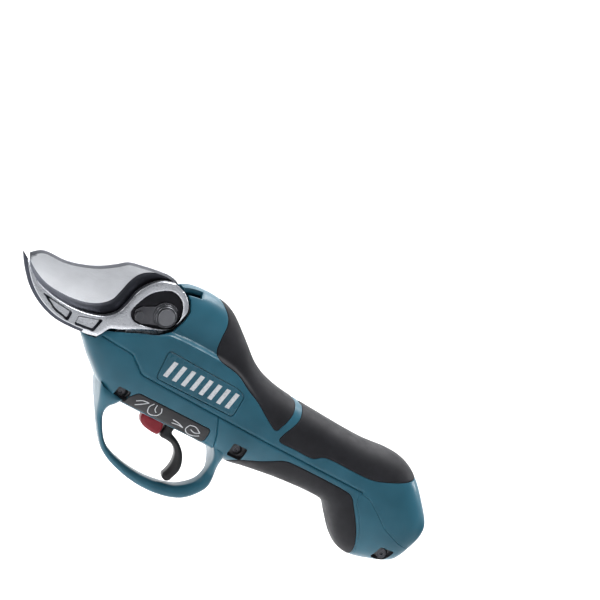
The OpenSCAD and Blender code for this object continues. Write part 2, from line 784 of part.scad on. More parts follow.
module motor_plate() {
    color([0.62, 0.63, 0.65]) on_drive(motor_at) difference() {
        cylinder(r = ring_r, h = motor_plate_t);
        translate([0, 0, 1]) cylinder(r = motor_bearing_r, h = 5);
        translate([0, 0, -1]) cylinder(r = 4, h = 5);
        for (a = case_screw_angles) rotate(a) translate([case_screw_orbit, 0, -1]) cylinder(r = case_screw_r, h = 8);
    }
}

module motor_can() {
    color([0.2, 0.2, 0.22]) on_drive(can_at) difference() {
        cylinder(r = motor_r, h = motor_len);
        translate([0, 0, -1]) cylinder(r = motor_r - can_wall, h = motor_len + 1 - can_end_t);
        translate([0, 0, motor_len - can_end_t - 1]) cylinder(r = motor_bearing_r, h = 3);
        translate([0, 0, motor_len - 5]) cylinder(r = 3.2, h = 10);
        for (k = [0 : 2]) rotate(120 * k) translate([9, 0, motor_len - 5]) cylinder(r = 1.4, h = 10);
    }
}

// Laminated ring with six wound poles
module stator() {
    color([0.7, 0.42, 0.22]) on_drive(stator_at) difference() {
        cylinder(r = motor_r - can_wall, h = stator_len);
        translate([0, 0, -1]) cylinder(r = rotor_r + 0.4, h = stator_len + 2);
        for (k = [0 : stator_slots - 1]) rotate(360 / stator_slots * (k + 0.5)) translate([rotor_r - 0.6, -0.7, -1])
            cube([4.2, 1.4, stator_len + 2]);
    }
}

module rotor() {
    color([0.3, 0.3, 0.33]) on_drive(stator_at) tube(rotor_r, spindle_r, stator_len);
}

module motor_shaft() {
    color([0.8, 0.81, 0.83]) on_drive() union() {
        translate([0, 0, planets_at - 0.2]) cylinder(r = sun_bore, h = motor_at + 1 - planets_at + 0.2);
        translate([0, 0, motor_at + 1]) cylinder(r = spindle_r, h = motor_len + 2);
    }
}

module motor_bearing_front() {
    bearing(motor_at + motor_bearing_seat, spindle_r + pin_clearance, motor_bearing_r, motor_bearing_t + 0.5);
}

module motor_bearing_rear() {
    bearing(can_at + motor_len - can_end_t - 1.5, spindle_r + pin_clearance, motor_bearing_r, motor_bearing_t);
}

// ---- Electronics ----

module controller_board() {
    color([0.08, 0.3, 0.16]) translate([board_at[0], -board_size[1] / 2, board_at[1]]) cube(board_size);
}

module power_transistors() {
    color([0.12, 0.12, 0.13]) for (i = [0 : 2]) for (j = [0 : 1])
        translate([board_at[0] + 3 + 6.5 * i, -9 + 11 * j, board_at[1] + board_size[2]]) cube([5, 6, 2]);
}

module capacitor() {
    color([0.15, 0.17, 0.3]) translate([board_at[0] + 27.5, 0, board_at[1] + board_size[2]])
        cylinder(r = 5, h = 9);
}

// A straight lead between two points
module lead(from, to, r) {
    d = to - from;
    translate(from) rotate([0, acos(d[2] / norm(d)), atan2(d[1], d[0])]) cylinder(r = r, h = norm(d));
}

module motor_leads() {
    end = [cos(drive_tilt), 0, -sin(drive_tilt)] * (can_at + motor_len + 4);
    color([0.7, 0.1, 0.1]) for (k = [-1 : 1])
        lead(end + [0, drive_y + 6 * k, 7 - 6 * k * k], [board_at[0] - 1, 7 * k, board_at[1] + 0.8], 0.9);
}

module supply_leads() {
    color([0.12, 0.12, 0.14]) for (k = [-1, 1])
        lead([board_at[0] + board_size[0] + 1.4, 6 * k, board_at[1] + 0.8], [185, 2.6 * k, -50.6], 1.2);
}

module power_inlet() {
    color([0.09, 0.09, 0.1]) on_inlet(-inlet_len) difference() {
        cylinder(r = inlet_r + inlet_wall, h = inlet_len);
        translate([0, 0, inlet_len - inlet_free]) cylinder(r = inlet_r, h = inlet_free + 1);
        for (k = [0 : 3]) rotate(90 * k + 45) translate([contact_orbit, 0, -1])
            cylinder(r = contact_r, h = inlet_len);
    }
}

module inlet_contacts() {
    color([0.8, 0.65, 0.3]) for (k = [0 : 3]) on_inlet(-inlet_len - 1.5) rotate(90 * k + 45)
        translate([contact_orbit, 0, 0]) difference() {
            cylinder(r = contact_r, h = inlet_len - inlet_free + 1.5);
            translate([0, 0, 3]) cylinder(r = 0.6, h = 10);
        }
}

module inlet_seal() {
    color([0.1, 0.1, 0.1]) on_inlet(-6) tube(inlet_r + inlet_wall + 0.5, inlet_r + inlet_wall, 2);
}

// ---- Controls ----

trigger_front = [[36.3, -60], [36.6, -66.5], [41.8, -67.2], [46.3, -68.3], [49.8, -72], [51.2, -77.5], [50.8, -82],
    [49.7, -85.5]];
trigger_back = [[56, -86.5], [57.8, -81], [57.2, -75.5], [54, -69.5], [48.8, -65], [42.8, -62.2], [42.4, -60]];
trigger_ball = [52.8, -86.2];
magnet_site = [50, -48.2];
magnet_r = 1.3;

module trigger() {
    color([0.13, 0.13, 0.14]) difference() {
        union() {
            along_y(-trigger_w / 2, trigger_w / 2)
                polygon(concat([[36.3, -52]], curve_through(trigger_front, 3), curve_through(trigger_back, 3),
                    [[42.4, -54], [52.6, -50], [52.6, trigger_top], [38.8, trigger_top]]));
            pin_y(trigger_ball, 3.3, -trigger_w / 2, trigger_w / 2);
            pin_y(trigger_pivot, 4.4, -trigger_w / 2, trigger_w / 2);
        }
        pin_y(trigger_pivot, control_pin_r + pin_clearance, -through, through);
        pin_y(magnet_site, magnet_r, -2, 10);
    }
}

module trigger_magnet() { color([0.75, 0.75, 0.78]) pin_y(magnet_site, magnet_r, -2, 3); }

module control_pin(site) {
    color([0.7, 0.71, 0.74]) pin_y(site, control_pin_r, -control_pin_reach, control_pin_reach);
}

module trigger_pin() { control_pin(trigger_pivot); }

module lock_pin() { control_pin(lock_pivot); }

module trigger_sensor() {
    color([0.08, 0.3, 0.16]) translate([55.2, -6, -54]) cube([1.2, 12, 10]);
    color([0.1, 0.1, 0.1]) translate([54.2, -1.5, -50]) cube([1, 3, 3]);
}

lock_edge = [[35.2, -57.2], [35.5, -66], [34.6, -66.8], [27.8, -66.6], [22.8, -65.2], [20.2, -62],
    [20.2, lock_lever_top], [28, lock_lever_top], [29.2, -54], [33.4, -54], [34.2, -57.2]];

module lock_lever() {
    color([0.55, 0.1, 0.14]) difference() {
        union() {
            along_y(-trigger_w / 2, trigger_w / 2) polygon(lock_edge);
            pin_y(lock_pivot, 2.8, -trigger_w / 2, trigger_w / 2);
        }
        pin_y(lock_pivot, control_pin_r + pin_clearance, -through, through);
    }
}

// Helical spring along Z as one swept hexagonal wire
module coil(r, wire, turns, height) {
    sides = 6;
    per_turn = 12;
    count = turns * per_turn;
    function ring(i) = let (a = 360 * i / per_turn, z = wire + (height - 2 * wire) * i / count)
        [for (j = [0 : sides - 1]) let (b = 360 * j / sides)
            [(r + wire * cos(b)) * cos(a), (r + wire * cos(b)) * sin(a), z + wire * sin(b)]];
    polyhedron(
        points = [for (i = [0 : count]) for (p = ring(i)) p],
        faces = concat(
            [for (i = [0 : count - 1]) for (j = [0 : sides - 1]) let (k = (j + 1) % sides)
                [i * sides + j, i * sides + k, (i + 1) * sides + k, (i + 1) * sides + j]],
            [[for (j = [sides - 1 : -1 : 0]) j]],
            [[for (j = [0 : sides - 1]) count * sides + j]]));
}

module trigger_spring() {
    color([0.75, 0.76, 0.78]) translate([spring_x, 0, spring_seat_z - trigger_spring_len])
        coil(2.2, 0.3, 5, trigger_spring_len);
}

module lock_spring() {
    color([0.75, 0.76, 0.78]) translate([lock_spring_x, 0, lock_spring_seat_z - lock_spring_len])
        coil(1.8, 0.25, 6, lock_spring_len);
}

// ---- Screws ----

module side_screw(site, end) {
    difference() {
        union() {
            pin_y(site, screw_head_r, screw_head_y - 2.2, screw_head_y);
            pin_y(site, screw_r, screw_head_y, end);
        }
        translate([site[0], screw_head_y - 1, site[1]]) rotate([90, 0, 0]) cylinder(r = 1.3, h = 3, $fn = 6);
    }
}

module housing_screws() { color([0.3, 0.3, 0.32]) for (site = screw_sites) side_screw(site, 12.5); }

module end_cover_screw() { color([0.3, 0.3, 0.32]) side_screw(cover_screw_site, 10); }

housing_left();
housing_right();
end_cover();
front_grip();
rear_grip();
lower_grip();
name_panel_left();
name_panel_right();
trigger_panel_left();
trigger_panel_right();
counter_blade();
counter_blade_screws();
cutting_blade();
blade_bush();
sector_gear();
sector_rivets();
pivot_bolt();
pivot_nut();
lock_plate();
lock_screw();
thrust_washer();
gear_frame();
case_screws();
pinion_bearing_front();
pinion_bearing_rear();
bevel_pinion();
planet_carrier();
planet_pins();
planet_gear_1();
planet_gear_2();
planet_gear_3();
ring_gear();
sun_gear();
motor_plate();
motor_can();
stator();
rotor();
motor_shaft();
motor_bearing_front();
motor_bearing_rear();
controller_board();
power_transistors();
capacitor();
motor_leads();
supply_leads();
power_inlet();
inlet_contacts();
inlet_seal();
trigger();
trigger_magnet();
trigger_pin();
trigger_spring();
trigger_sensor();
lock_lever();
lock_pin();
lock_spring();
housing_screws();
end_cover_screw();
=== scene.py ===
"""Battery electric pruner: the looks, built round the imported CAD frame.

Lengths in this file are millimetres unless a name says otherwise, and meshes are made in metres.
The tool's blade tips point to -X, +Z is up, and the pivot nut faces -Y.
"""

import json
import math

import bmesh
import bpy
import numpy as np
from mathutils import Matrix, Vector
from mathutils.geometry import delaunay_2d_cdt

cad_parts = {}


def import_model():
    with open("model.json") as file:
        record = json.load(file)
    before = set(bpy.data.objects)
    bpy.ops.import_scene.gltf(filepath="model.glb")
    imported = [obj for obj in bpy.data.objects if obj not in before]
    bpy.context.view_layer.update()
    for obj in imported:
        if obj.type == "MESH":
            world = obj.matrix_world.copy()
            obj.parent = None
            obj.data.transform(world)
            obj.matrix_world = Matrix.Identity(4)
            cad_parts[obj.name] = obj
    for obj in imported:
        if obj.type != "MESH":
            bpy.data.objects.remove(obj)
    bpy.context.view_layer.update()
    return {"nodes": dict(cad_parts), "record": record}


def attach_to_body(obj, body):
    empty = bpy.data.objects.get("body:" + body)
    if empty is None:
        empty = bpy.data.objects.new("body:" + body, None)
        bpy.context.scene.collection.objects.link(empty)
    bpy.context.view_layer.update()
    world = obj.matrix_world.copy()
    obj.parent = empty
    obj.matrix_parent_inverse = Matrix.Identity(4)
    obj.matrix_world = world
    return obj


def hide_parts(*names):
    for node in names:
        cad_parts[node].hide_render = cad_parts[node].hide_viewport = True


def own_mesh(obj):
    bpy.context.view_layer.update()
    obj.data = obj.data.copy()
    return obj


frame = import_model()

MM = 0.001

# ---------------------------------------------------------------- curves


def spline(points, step=0.8, closed=False):
    """Points about step apart on the smooth curve through points."""
    p = np.array(points, float)
    n = len(p)
    out = []
    for i in range(n if closed else n - 1):
        if closed:
            a, b, c, d = p[(i - 1) % n], p[i], p[(i + 1) % n], p[(i + 2) % n]
        else:
            a, b, c, d = p[max(i - 1, 0)], p[i], p[i + 1], p[min(i + 2, n - 1)]
        count = max(1, int(round(np.linalg.norm(c - b) / step)))
        for k in range(count):
            t = k / count
            out.append(0.5 * (2 * b + (c - a) * t + (2 * a - 5 * b + 4 * c - d) * t ** 2
                              + (3 * b - a - 3 * c + d) * t ** 3))
    if not closed:
        out.append(p[-1])
    return np.array(out)


def straight(points, step=0.8, closed=True):
    """Points about step apart along the straight sides of a polygon."""
    p = np.array(points, float)
    out = []
    for i in range(len(p) if closed else len(p) - 1):
        a, b = p[i], p[(i + 1) % len(p)]
        count = max(1, int(round(np.linalg.norm(b - a) / step)))
        out.extend(a + (b - a) * k / count for k in range(count))
    if not closed:
        out.append(p[-1])
    return np.array(out)


def rounded(points, radius, step=0.6, turns=5):
    """A polygon's outline with its corners rounded."""
    p = [np.array(q, float) for q in points]
    out = []
    for i, at in enumerate(p):
        before, after = p[i - 1], p[(i + 1) % len(p)]
        u, v = before - at, after - at
        reach = min(radius, 0.45 * np.linalg.norm(u), 0.45 * np.linalg.norm(v))
        start = at + u / np.linalg.norm(u) * reach
        end = at + v / np.linalg.norm(v) * reach
        out.extend((1 - t) ** 2 * start + 2 * t * (1 - t) * at + t ** 2 * end
                   for t in np.linspace(0, 1, turns))
    return straight(out, step)


def shrunk(points, gap, radius):
    """A convex polygon's outline moved inwards, with rounded corners."""
    p = np.array(points, float)
    before, after = np.roll(p, 1, axis=0), np.roll(p, -1, axis=0)
    u = (p - before) / np.linalg.norm(p - before, axis=1)[:, None]
    v = (after - p) / np.linalg.norm(after - p, axis=1)[:, None]
    turn = u[:, 0] * v[:, 1] - u[:, 1] * v[:, 0]
    inwards = (v - u) / np.abs(turn)[:, None]
    return rounded(p + inwards * gap, radius)


def circle(middle, radius, step=0.6):
    """Points about step apart on a circle."""
    count = max(12, int(2 * math.pi * radius / step))
    a = np.arange(count) * 2 * math.pi / count
    return np.stack([middle[0] + radius * np.cos(a), middle[1] + radius * np.sin(a)], axis=1)


def profile(knots):
    """Smooth height along X through [x, height] knots, as a function of an array of x."""
    k = np.array(knots, float)
    x, y = k[:, 0], k[:, 1]
    slope = np.empty(len(k))
    slope[1:-1] = (y[2:] - y[:-2]) / (x[2:] - x[:-2])
    slope[0] = (y[1] - y[0]) / (x[1] - x[0])
    slope[-1] = (y[-1] - y[-2]) / (x[-1] - x[-2])

    def at(q):
        i = np.clip(np.searchsorted(x, q, side="right") - 1, 0, len(k) - 2)
        d = x[i + 1] - x[i]
        t = np.clip((q - x[i]) / d, 0, 1)
        return ((2 * t ** 3 - 3 * t ** 2 + 1) * y[i] + (t ** 3 - 2 * t ** 2 + t) * d * slope[i]
                + (3 * t ** 2 - 2 * t ** 3) * y[i + 1] + (t ** 3 - t ** 2) * d * slope[i + 1])
    return at


def beside(line, gap):
    """The line moved sideways by a gap, to the left as it runs."""
    ahead = np.gradient(line, axis=0)
    return line + ahead[:, ::-1] * [-1, 1] / np.linalg.norm(ahead, axis=1)[:, None] * gap


def smooth(t):
    """0 below 0, 1 above 1 and an S curve between them."""
    t = np.clip(t, 0, 1)
    return t * t * (3 - 2 * t)


# ---------------------------------------------------------------- body skin

NOSE_X = -36.9
BUTT_X = 212

# [x, z] of the body's top and bottom lines, and [x, y] of half its width
BODY_TOP = [[-36.9, -32.7], [-36.4, -31.8], [-34, -27], [-29, -21], [-22, -10], [-15, 1], [-6, 14], [2, 19],
            [8.5, 22], [17.5, 23.2], [26.5, 23], [34.5, 21.5], [41.5, 18], [54.5, 8], [64.5, 0], [74.5, -5],
            [89.5, -8.5], [114.5, -10.5], [149.5, -12], [169.5, -10.5], [181.5, -12], [192, -18], [204, -30],
            [209.6, -37], [211.3, -41.5], [212, -45.7]]
BODY_BOTTOM = [[-36.9, -32.8], [-36.4, -33.6], [-33.8, -36], [-29, -41], [-21, -48], [-14, -53.5],
               [-6, -57.5], [3, -58.5], [64, -58.5], [77, -61.5], [90, -60], [115, -57], [140.5, -56],
               [148.5, -58], [155.5, -65.5], [162.5, -73], [170, -78], [179, -79], [191, -76],
               [200.5, -72.5], [204.3, -69.5], [207, -64], [210.6, -53], [211.6, -48.5], [212, -45.9]]
BODY_HALF = [[-36.9, 0.5], [-36.4, 3.5], [-34.5, 8.5], [-30, 12.5], [-22, 16], [-10, 19.5], [5, 20.9],
             [25, 21.3], [50, 21.1], [75, 20.2], [100, 19], [135, 19.5], [165, 20.5], [188, 21], [200, 19.5],
             [207, 16.5], [210.4, 14], [212, 9]]

# the ledge where the head narrows, and the line on the side that charts are measured from
SHOULDER = [[-36.5, -19], [-20, -17], [0, -12], [8, -8.5], [38, -8], [55, -10.5], [75, -20], [93, -30]]
SIDE_LINE = [[-36.9, -32.75], [-30, -31], [-22, -30], [0, -28], [60, -29], [100, -34], [150, -38], [188, -46],
             [212, -45.8]]
NARROWING = 0.2
LEDGE = 2.4
LEDGE_END, LEDGE_FADE = 40, 45

# section corners: the exponent of a round one, and how much boxier the head's are
ROUND_SECTION = 2.7
BOXY_ABOVE, BOXY_BELOW = 0.2, 1.8
HEAD_START, HEAD_BLEND_IN = -34, 28
HEAD_END, HEAD_BLEND_OUT = 55, 40

# the shell's wall at the body's very ends, and how much thicker it is between them
END_WALL, EXTRA_WALL = 0.25, 3
top_at, bottom_at, half_at, shoulder_at, side_line_at = (
    profile(k) for k in (BODY_TOP, BODY_BOTTOM, BODY_HALF, SHOULDER, SIDE_LINE))


def narrowing(x, z):
    """How much narrower the body is above its shoulder."""
    fade = 1 - smooth((x - LEDGE_END) / LEDGE_FADE)
    return 1 - NARROWING * smooth((z - shoulder_at(x)) / LEDGE) * fade


def corner(x, below):
    """Exponent of the section's corners: boxy under the head, rounder at the top and along the handle."""
    boxier = BOXY_BELOW if below else BOXY_ABOVE
    until_handle = 1 - smooth((x - HEAD_END) / HEAD_BLEND_OUT)
    return 2 / (ROUND_SECTION + boxier * until_handle * smooth((x - HEAD_START) / HEAD_BLEND_IN))


class Skin:
    """The body's outer surface on its -Y half, as a function of x and the length s from the top centre line.

    The far half is the mirror image: s is negative there, or longer than the half section's length.
    """

    def __init__(self, step=0.5, rows=221):
        self.x = np.linspace(NOSE_X, BUTT_X, int((BUTT_X - NOSE_X) / step))
        angles = np.linspace(0, np.pi, rows)
        c, s = np.cos(angles)[None, :], np.sin(angles)[None, :]
        power = np.where(c < 0, corner(self.x, True)[:, None], corner(self.x, False)[:, None])
        top, bottom = top_at(self.x)[:, None], bottom_at(self.x)[:, None]
        half_h = np.maximum((top - bottom) / 2, 0.05)
        z = (top + bottom) / 2 + half_h * np.sign(c) * np.abs(c) ** power
        y = half_at(self.x)[:, None] * np.abs(s) ** power * narrowing(self.x[:, None], z)
        self.y, self.z = y, z
        steps = np.hypot(np.diff(y, axis=1), np.diff(z, axis=1))
        self.s = np.concatenate([np.zeros((len(self.x), 1)), np.cumsum(steps, axis=1)], axis=1)
        self.length = self.s[:, -1]
        # u runs faster than x at both ends, where the surface is steep
        stretch = 1 + 2 * smooth((self.x - 199) / 10) + smooth((-28 - self.x) / 7)
        steps = (stretch[1:] + stretch[:-1]) / 2 * np.diff(self.x)
        self.u = np.concatenate([[0], np.cumsum(steps)]) + NOSE_X

    def s_at(self, x, z):
        """The s of the -Y side's point at x and height z."""
        x, z = np.atleast_1d(x).astype(float), np.atleast_1d(z).astype(float)
        out = np.empty(len(x))
        for k in range(len(x)):
            i = int(np.clip(np.searchsorted(self.x, x[k]) - 1, 0, len(self.x) - 2))
            t = np.clip((x[k] - self.x[i]) / (self.x[i + 1] - self.x[i]), 0, 1)
            both = [np.interp(-z[k], -self.z[j], self.s[j]) for j in (i, i + 1)]
            out[k] = both[0] * (1 - t) + both[1] * t
        return out

    def s_at_width(self, x, y):
        """The s of the points above the side line at x that lie y from the middle plane."""
        upper = self.y.shape[1] // 2
        rows = np.clip(np.searchsorted(self.x, x), 0, len(self.x) - 1)
        return np.array([np.interp(y, self.y[i, :upper], self.s[i, :upper]) for i in rows])

    def points(self, x, s):
        """Points of the surface."""
        i = np.clip(np.searchsorted(self.x, x) - 1, 0, len(self.x) - 2)
        t = np.clip((x - self.x[i]) / (self.x[i + 1] - self.x[i]), 0, 1)
        total = self.length[i] * (1 - t) + self.length[i + 1] * t
        wrapped = np.where(s > total, s - 2 * total, np.where(s < -total, s + 2 * total, s))
        share = np.abs(wrapped) / total
        y, z = np.zeros(len(x)), np.zeros(len(x))
        order = np.argsort(i, kind="stable")
        for pick in np.split(order, np.flatnonzero(np.diff(i[order])) + 1):
            row = i[pick[0]]
            for j, weight in ((row, 1 - t[pick]), (row + 1, t[pick])):
                at = share[pick] * self.length[j]
                y[pick] += weight * np.interp(at, self.s[j], self.y[j])
                z[pick] += weight * np.interp(at, self.s[j], self.z[j])
        return np.stack([x, -np.where(wrapped < 0, -1, 1) * y, z], axis=1)

    def normals(self, x, s):
        """Outward directions, taken over a short stretch of the surface."""
        e = 0.35
        ahead = self.points(np.minimum(x + e, BUTT_X), s) - self.points(np.maximum(x - e, NOSE_X), s)
        across = self.points(x, s + e) - self.points(x, s - e)
        normal = np.cross(across, ahead)
        return normal / np.maximum(np.linalg.norm(normal, axis=1), 1e-9)[:, None]


skin = Skin()


class Patch:
    """A flat chart of the skin: u along the body, v along the section from a reference line."""

    def __init__(self, kind):
        self.start = {"top": 0 * skin.x, "bottom": skin.length,
                      "side": skin.s_at(skin.x, side_line_at(skin.x))}[kind]

    def flat(self, points):
        """Chart points of [x, z] points on the -Y side."""
        p = np.asarray(points, float)
        x = np.clip(p[:, 0], NOSE_X, BUTT_X)
        return self.chart(x, skin.s_at(x, p[:, 1]))

    def chart(self, x, s):
        """Chart points of places on the skin."""
        x, s = np.broadcast_arrays(np.asarray(x, float), np.asarray(s, float))
        return np.stack([np.interp(x, skin.x, skin.u), s - np.interp(x, skin.x, self.start)], axis=1)

    def place(self, flat, lift):
        """Points in space at a height over the skin."""
        x = np.interp(flat[:, 0], skin.u, skin.x)
        s = flat[:, 1] + np.interp(x, skin.x, self.start)
        return skin.points(x, s) + skin.normals(x, s) * np.broadcast_to(lift, len(x))[:, None]

    def x(self, flat):
        """How far along the body chart points are."""
        return np.interp(flat[:, 0], skin.u, skin.x)


# ---------------------------------------------------------------- flat meshing


def sides(lines, closed=True):
    """Starts and ends of the segments of some polylines."""
    starts, ends = [], []
    for line in lines:
        starts.append(line if closed else line[:-1])
        ends.append(np.roll(line, -1, axis=0) if closed else line[1:])
    if not starts:
        return np.zeros((0, 2)), np.zeros((0, 2))
    return np.concatenate(starts), np.concatenate(ends)


def distance(points, segments):
    """Distance from each point to the nearest segment."""
    a, b = segments
    best = np.full(len(points), 1e9)
    if not len(a):
        return best
    d = b - a
    size = np.maximum(np.sum(d * d, axis=1), 1e-12)
    for start in range(0, len(points), 1000):
        q = points[start:start + 1000]
        px = q[:, 0][:, None] - a[:, 0]
        py = q[:, 1][:, None] - a[:, 1]
        t = np.clip((px * d[:, 0] + py * d[:, 1]) / size, 0, 1)
        gap = (px - t * d[:, 0]) ** 2 + (py - t * d[:, 1]) ** 2
        best[start:start + 1000] = np.sqrt(gap.min(axis=1))
    return best


def inside(points, loop):
    """Whether each point is inside a closed polygon."""
    x, y = points[:, 0], points[:, 1]
    hit = np.zeros(len(points), bool)
    ahead = np.roll(loop, -1, axis=0)
    for (ax, ay), (bx, by) in zip(loop, ahead):
        if ay == by:
            continue
        hit ^= ((ay > y) != (by > y)) & (x < (bx - ax) * (y - ay) / (by - ay) + ax)
    return hit


BANDS = (0.12, 0.3, 0.55, 0.9)
NEAREST_ROW = 0.93
GRID_GAP = 0.4
CREASE_MARGIN = 0.06


def well_inside(flat, loop, margin=CREASE_MARGIN):
    """Whether each chart point is inside a loop and not on its line."""
    return inside(flat, loop) & (distance(flat, sides([loop])) > margin)


def rows_beside(closed, opened, every, bands):
    """Rows of points at set distances on both sides of every line, less those too near another line."""
    rows = []
    for line, is_closed in [(c, True) for c in closed] + [(o, False) for o in opened]:
        ahead = np.roll(line, -1, axis=0) - np.roll(line, 1, axis=0)
        if not is_closed:
            ahead[0], ahead[-1] = line[1] - line[0], line[-1] - line[-2]
        across = np.stack([-ahead[:, 1], ahead[:, 0]], axis=1)
        across /= np.maximum(np.linalg.norm(across, axis=1), 1e-9)[:, None]
        for band in bands:
            moved = np.concatenate([line + across * band, line - across * band])
            rows.append(moved[distance(moved, every) > NEAREST_ROW * band])
    return np.concatenate(rows)


def grid_over(outline, spacing):
    """Points of a triangular grid over an outline's box."""
    low, high = outline.min(axis=0), outline.max(axis=0)
    pitch = spacing * math.sqrt(3) / 2
    rows = []
    for r, v in enumerate(np.arange(low[1], high[1] + pitch, pitch)):
        u = np.arange(low[0] - (r % 2) * spacing / 2, high[0] + spacing, spacing)
        rows.append(np.stack([u, np.full(len(u), v)], axis=1))
    return np.concatenate(rows)


def flat_mesh(outline, holes=(), creases=(), lines=(), spacing=1.4, bands=BANDS):
    """Triangulates an outline less its holes. Creases (closed) and lines (open) become edges of the mesh too.

    Rows of points run beside every edge, so that roundings, steps and grooves come out clean.
    Returns the points, the triangles and each point's distance to the rim.
    """
    closed = [np.asarray(loop, float) for loop in (outline, *holes, *creases)]
    opened = [np.asarray(line, float) for line in lines]
    cuts = closed[1:1 + len(holes)]
    every = [np.concatenate(pair) for pair in zip(sides(closed), sides(opened, False))]

    def within(p):
        keep = inside(p, closed[0])
        for hole in cuts:
            keep &= ~inside(p, hole)
        return keep

    rows = rows_beside(closed, opened, every, bands)
    rows = rows[within(rows)]
    grid = grid_over(closed[0], spacing)
    grid = grid[within(grid)]
    grid = grid[distance(grid, every) > bands[-1] + GRID_GAP * spacing]

    edges, start = [], 0
    for k, line in enumerate(closed + opened):
        n = len(line)
        edges += [(start + i, start + (i + 1) % n) for i in range(n if k < len(closed) else n - 1)]
        start += n
    points = np.concatenate(closed + opened + [rows, grid])
    verts, _, faces = delaunay_2d_cdt([Vector(p) for p in points], edges, [], 0, 1e-4, False)[:3]
    verts = np.array([tuple(v) for v in verts])
    faces = np.array([f for f in faces if len(f) == 3])
    faces = faces[within(verts[faces].mean(axis=1))]
    used = np.unique(faces)
    remap = np.full(len(verts), -1)
    remap[used] = np.arange(len(used))
    verts, faces = verts[used], remap[faces]
    a, b, c = (verts[faces[:, i]] for i in range(3))
    turn = (b[:, 0] - a[:, 0]) * (c[:, 1] - a[:, 1]) - (b[:, 1] - a[:, 1]) * (c[:, 0] - a[:, 0])
    faces[turn < 0] = faces[turn < 0][:, ::-1]
    faces = faces[np.abs(turn) > 1e-9]
    rim = np.array(rim_edges(faces))
    return verts, faces, distance(verts, (verts[rim[:, 0]], verts[rim[:, 1]]))


def rim_edges(faces):
    """Directed edges that belong to one face only."""
    directed = np.concatenate([faces[:, [0, 1]], faces[:, [1, 2]], faces[:, [2, 0]]])
    keys = {tuple(e) for e in directed.tolist()}
    return [e for e in keys if (e[1], e[0]) not in keys]


def closed_sheet(front, back, faces):
    """One closed mesh from a front sheet, its back sheet and walls between their rims."""
    n = len(front)
    walls = []
    for a, b in rim_edges(faces):
        walls += [(b, a, a + n), (b, a + n, b + n)]
    return np.concatenate([front, back]), np.concatenate([faces, faces[:, ::-1] + n, np.array(walls)])


def added(name, data):
    """A new object in the scene."""
    obj = bpy.data.objects.new(name, data)
    bpy.context.collection.objects.link(obj)
    return obj


def make(name, shape, material, sharp=38):
    """A mesh object in metres from (points, faces), smooth except over sharp edges, faces turned outwards."""
    verts, faces = shape
    mesh = bpy.data.meshes.new(name)
    mesh.from_pydata((np.asarray(verts) * MM).tolist(), [], [list(map(int, f)) for f in faces])
    work = bmesh.new()
    work.from_mesh(mesh)
    bmesh.ops.recalc_face_normals(work, faces=work.faces)
    work.to_mesh(mesh)
    work.free()
    obj = added(name, mesh)
    mesh.materials.append(material)
    mesh.shade_smooth()
    mesh.set_sharp_from_angle(angle=math.radians(sharp))
    return obj


def paint(obj, *areas):
    """Gives faces another material. Each area is (material, test of the faces' middles in millimetres)."""
    middles = np.array([face.center for face in obj.data.polygons]) / MM
    index = np.zeros(len(middles), np.int32)
    for number, (material, test) in enumerate(areas, 1):
        obj.data.materials.append(material)
        index[test(middles)] = number
    obj.data.polygons.foreach_set("material_index", index)
    return obj


def edge_round(gap, radius):
    """Depth of a rounded edge at a distance from it."""
    t = np.clip(1 - gap / radius, 0, 1)
    return radius * (1 - np.sqrt(np.clip(1 - t * t, 0, 1)))


def groove(gap, half_width, depth):
    """Depth of a smooth groove at a distance from its middle line."""
    return depth * (1 - smooth(gap / half_width))


# ---------------------------------------------------------------- materials


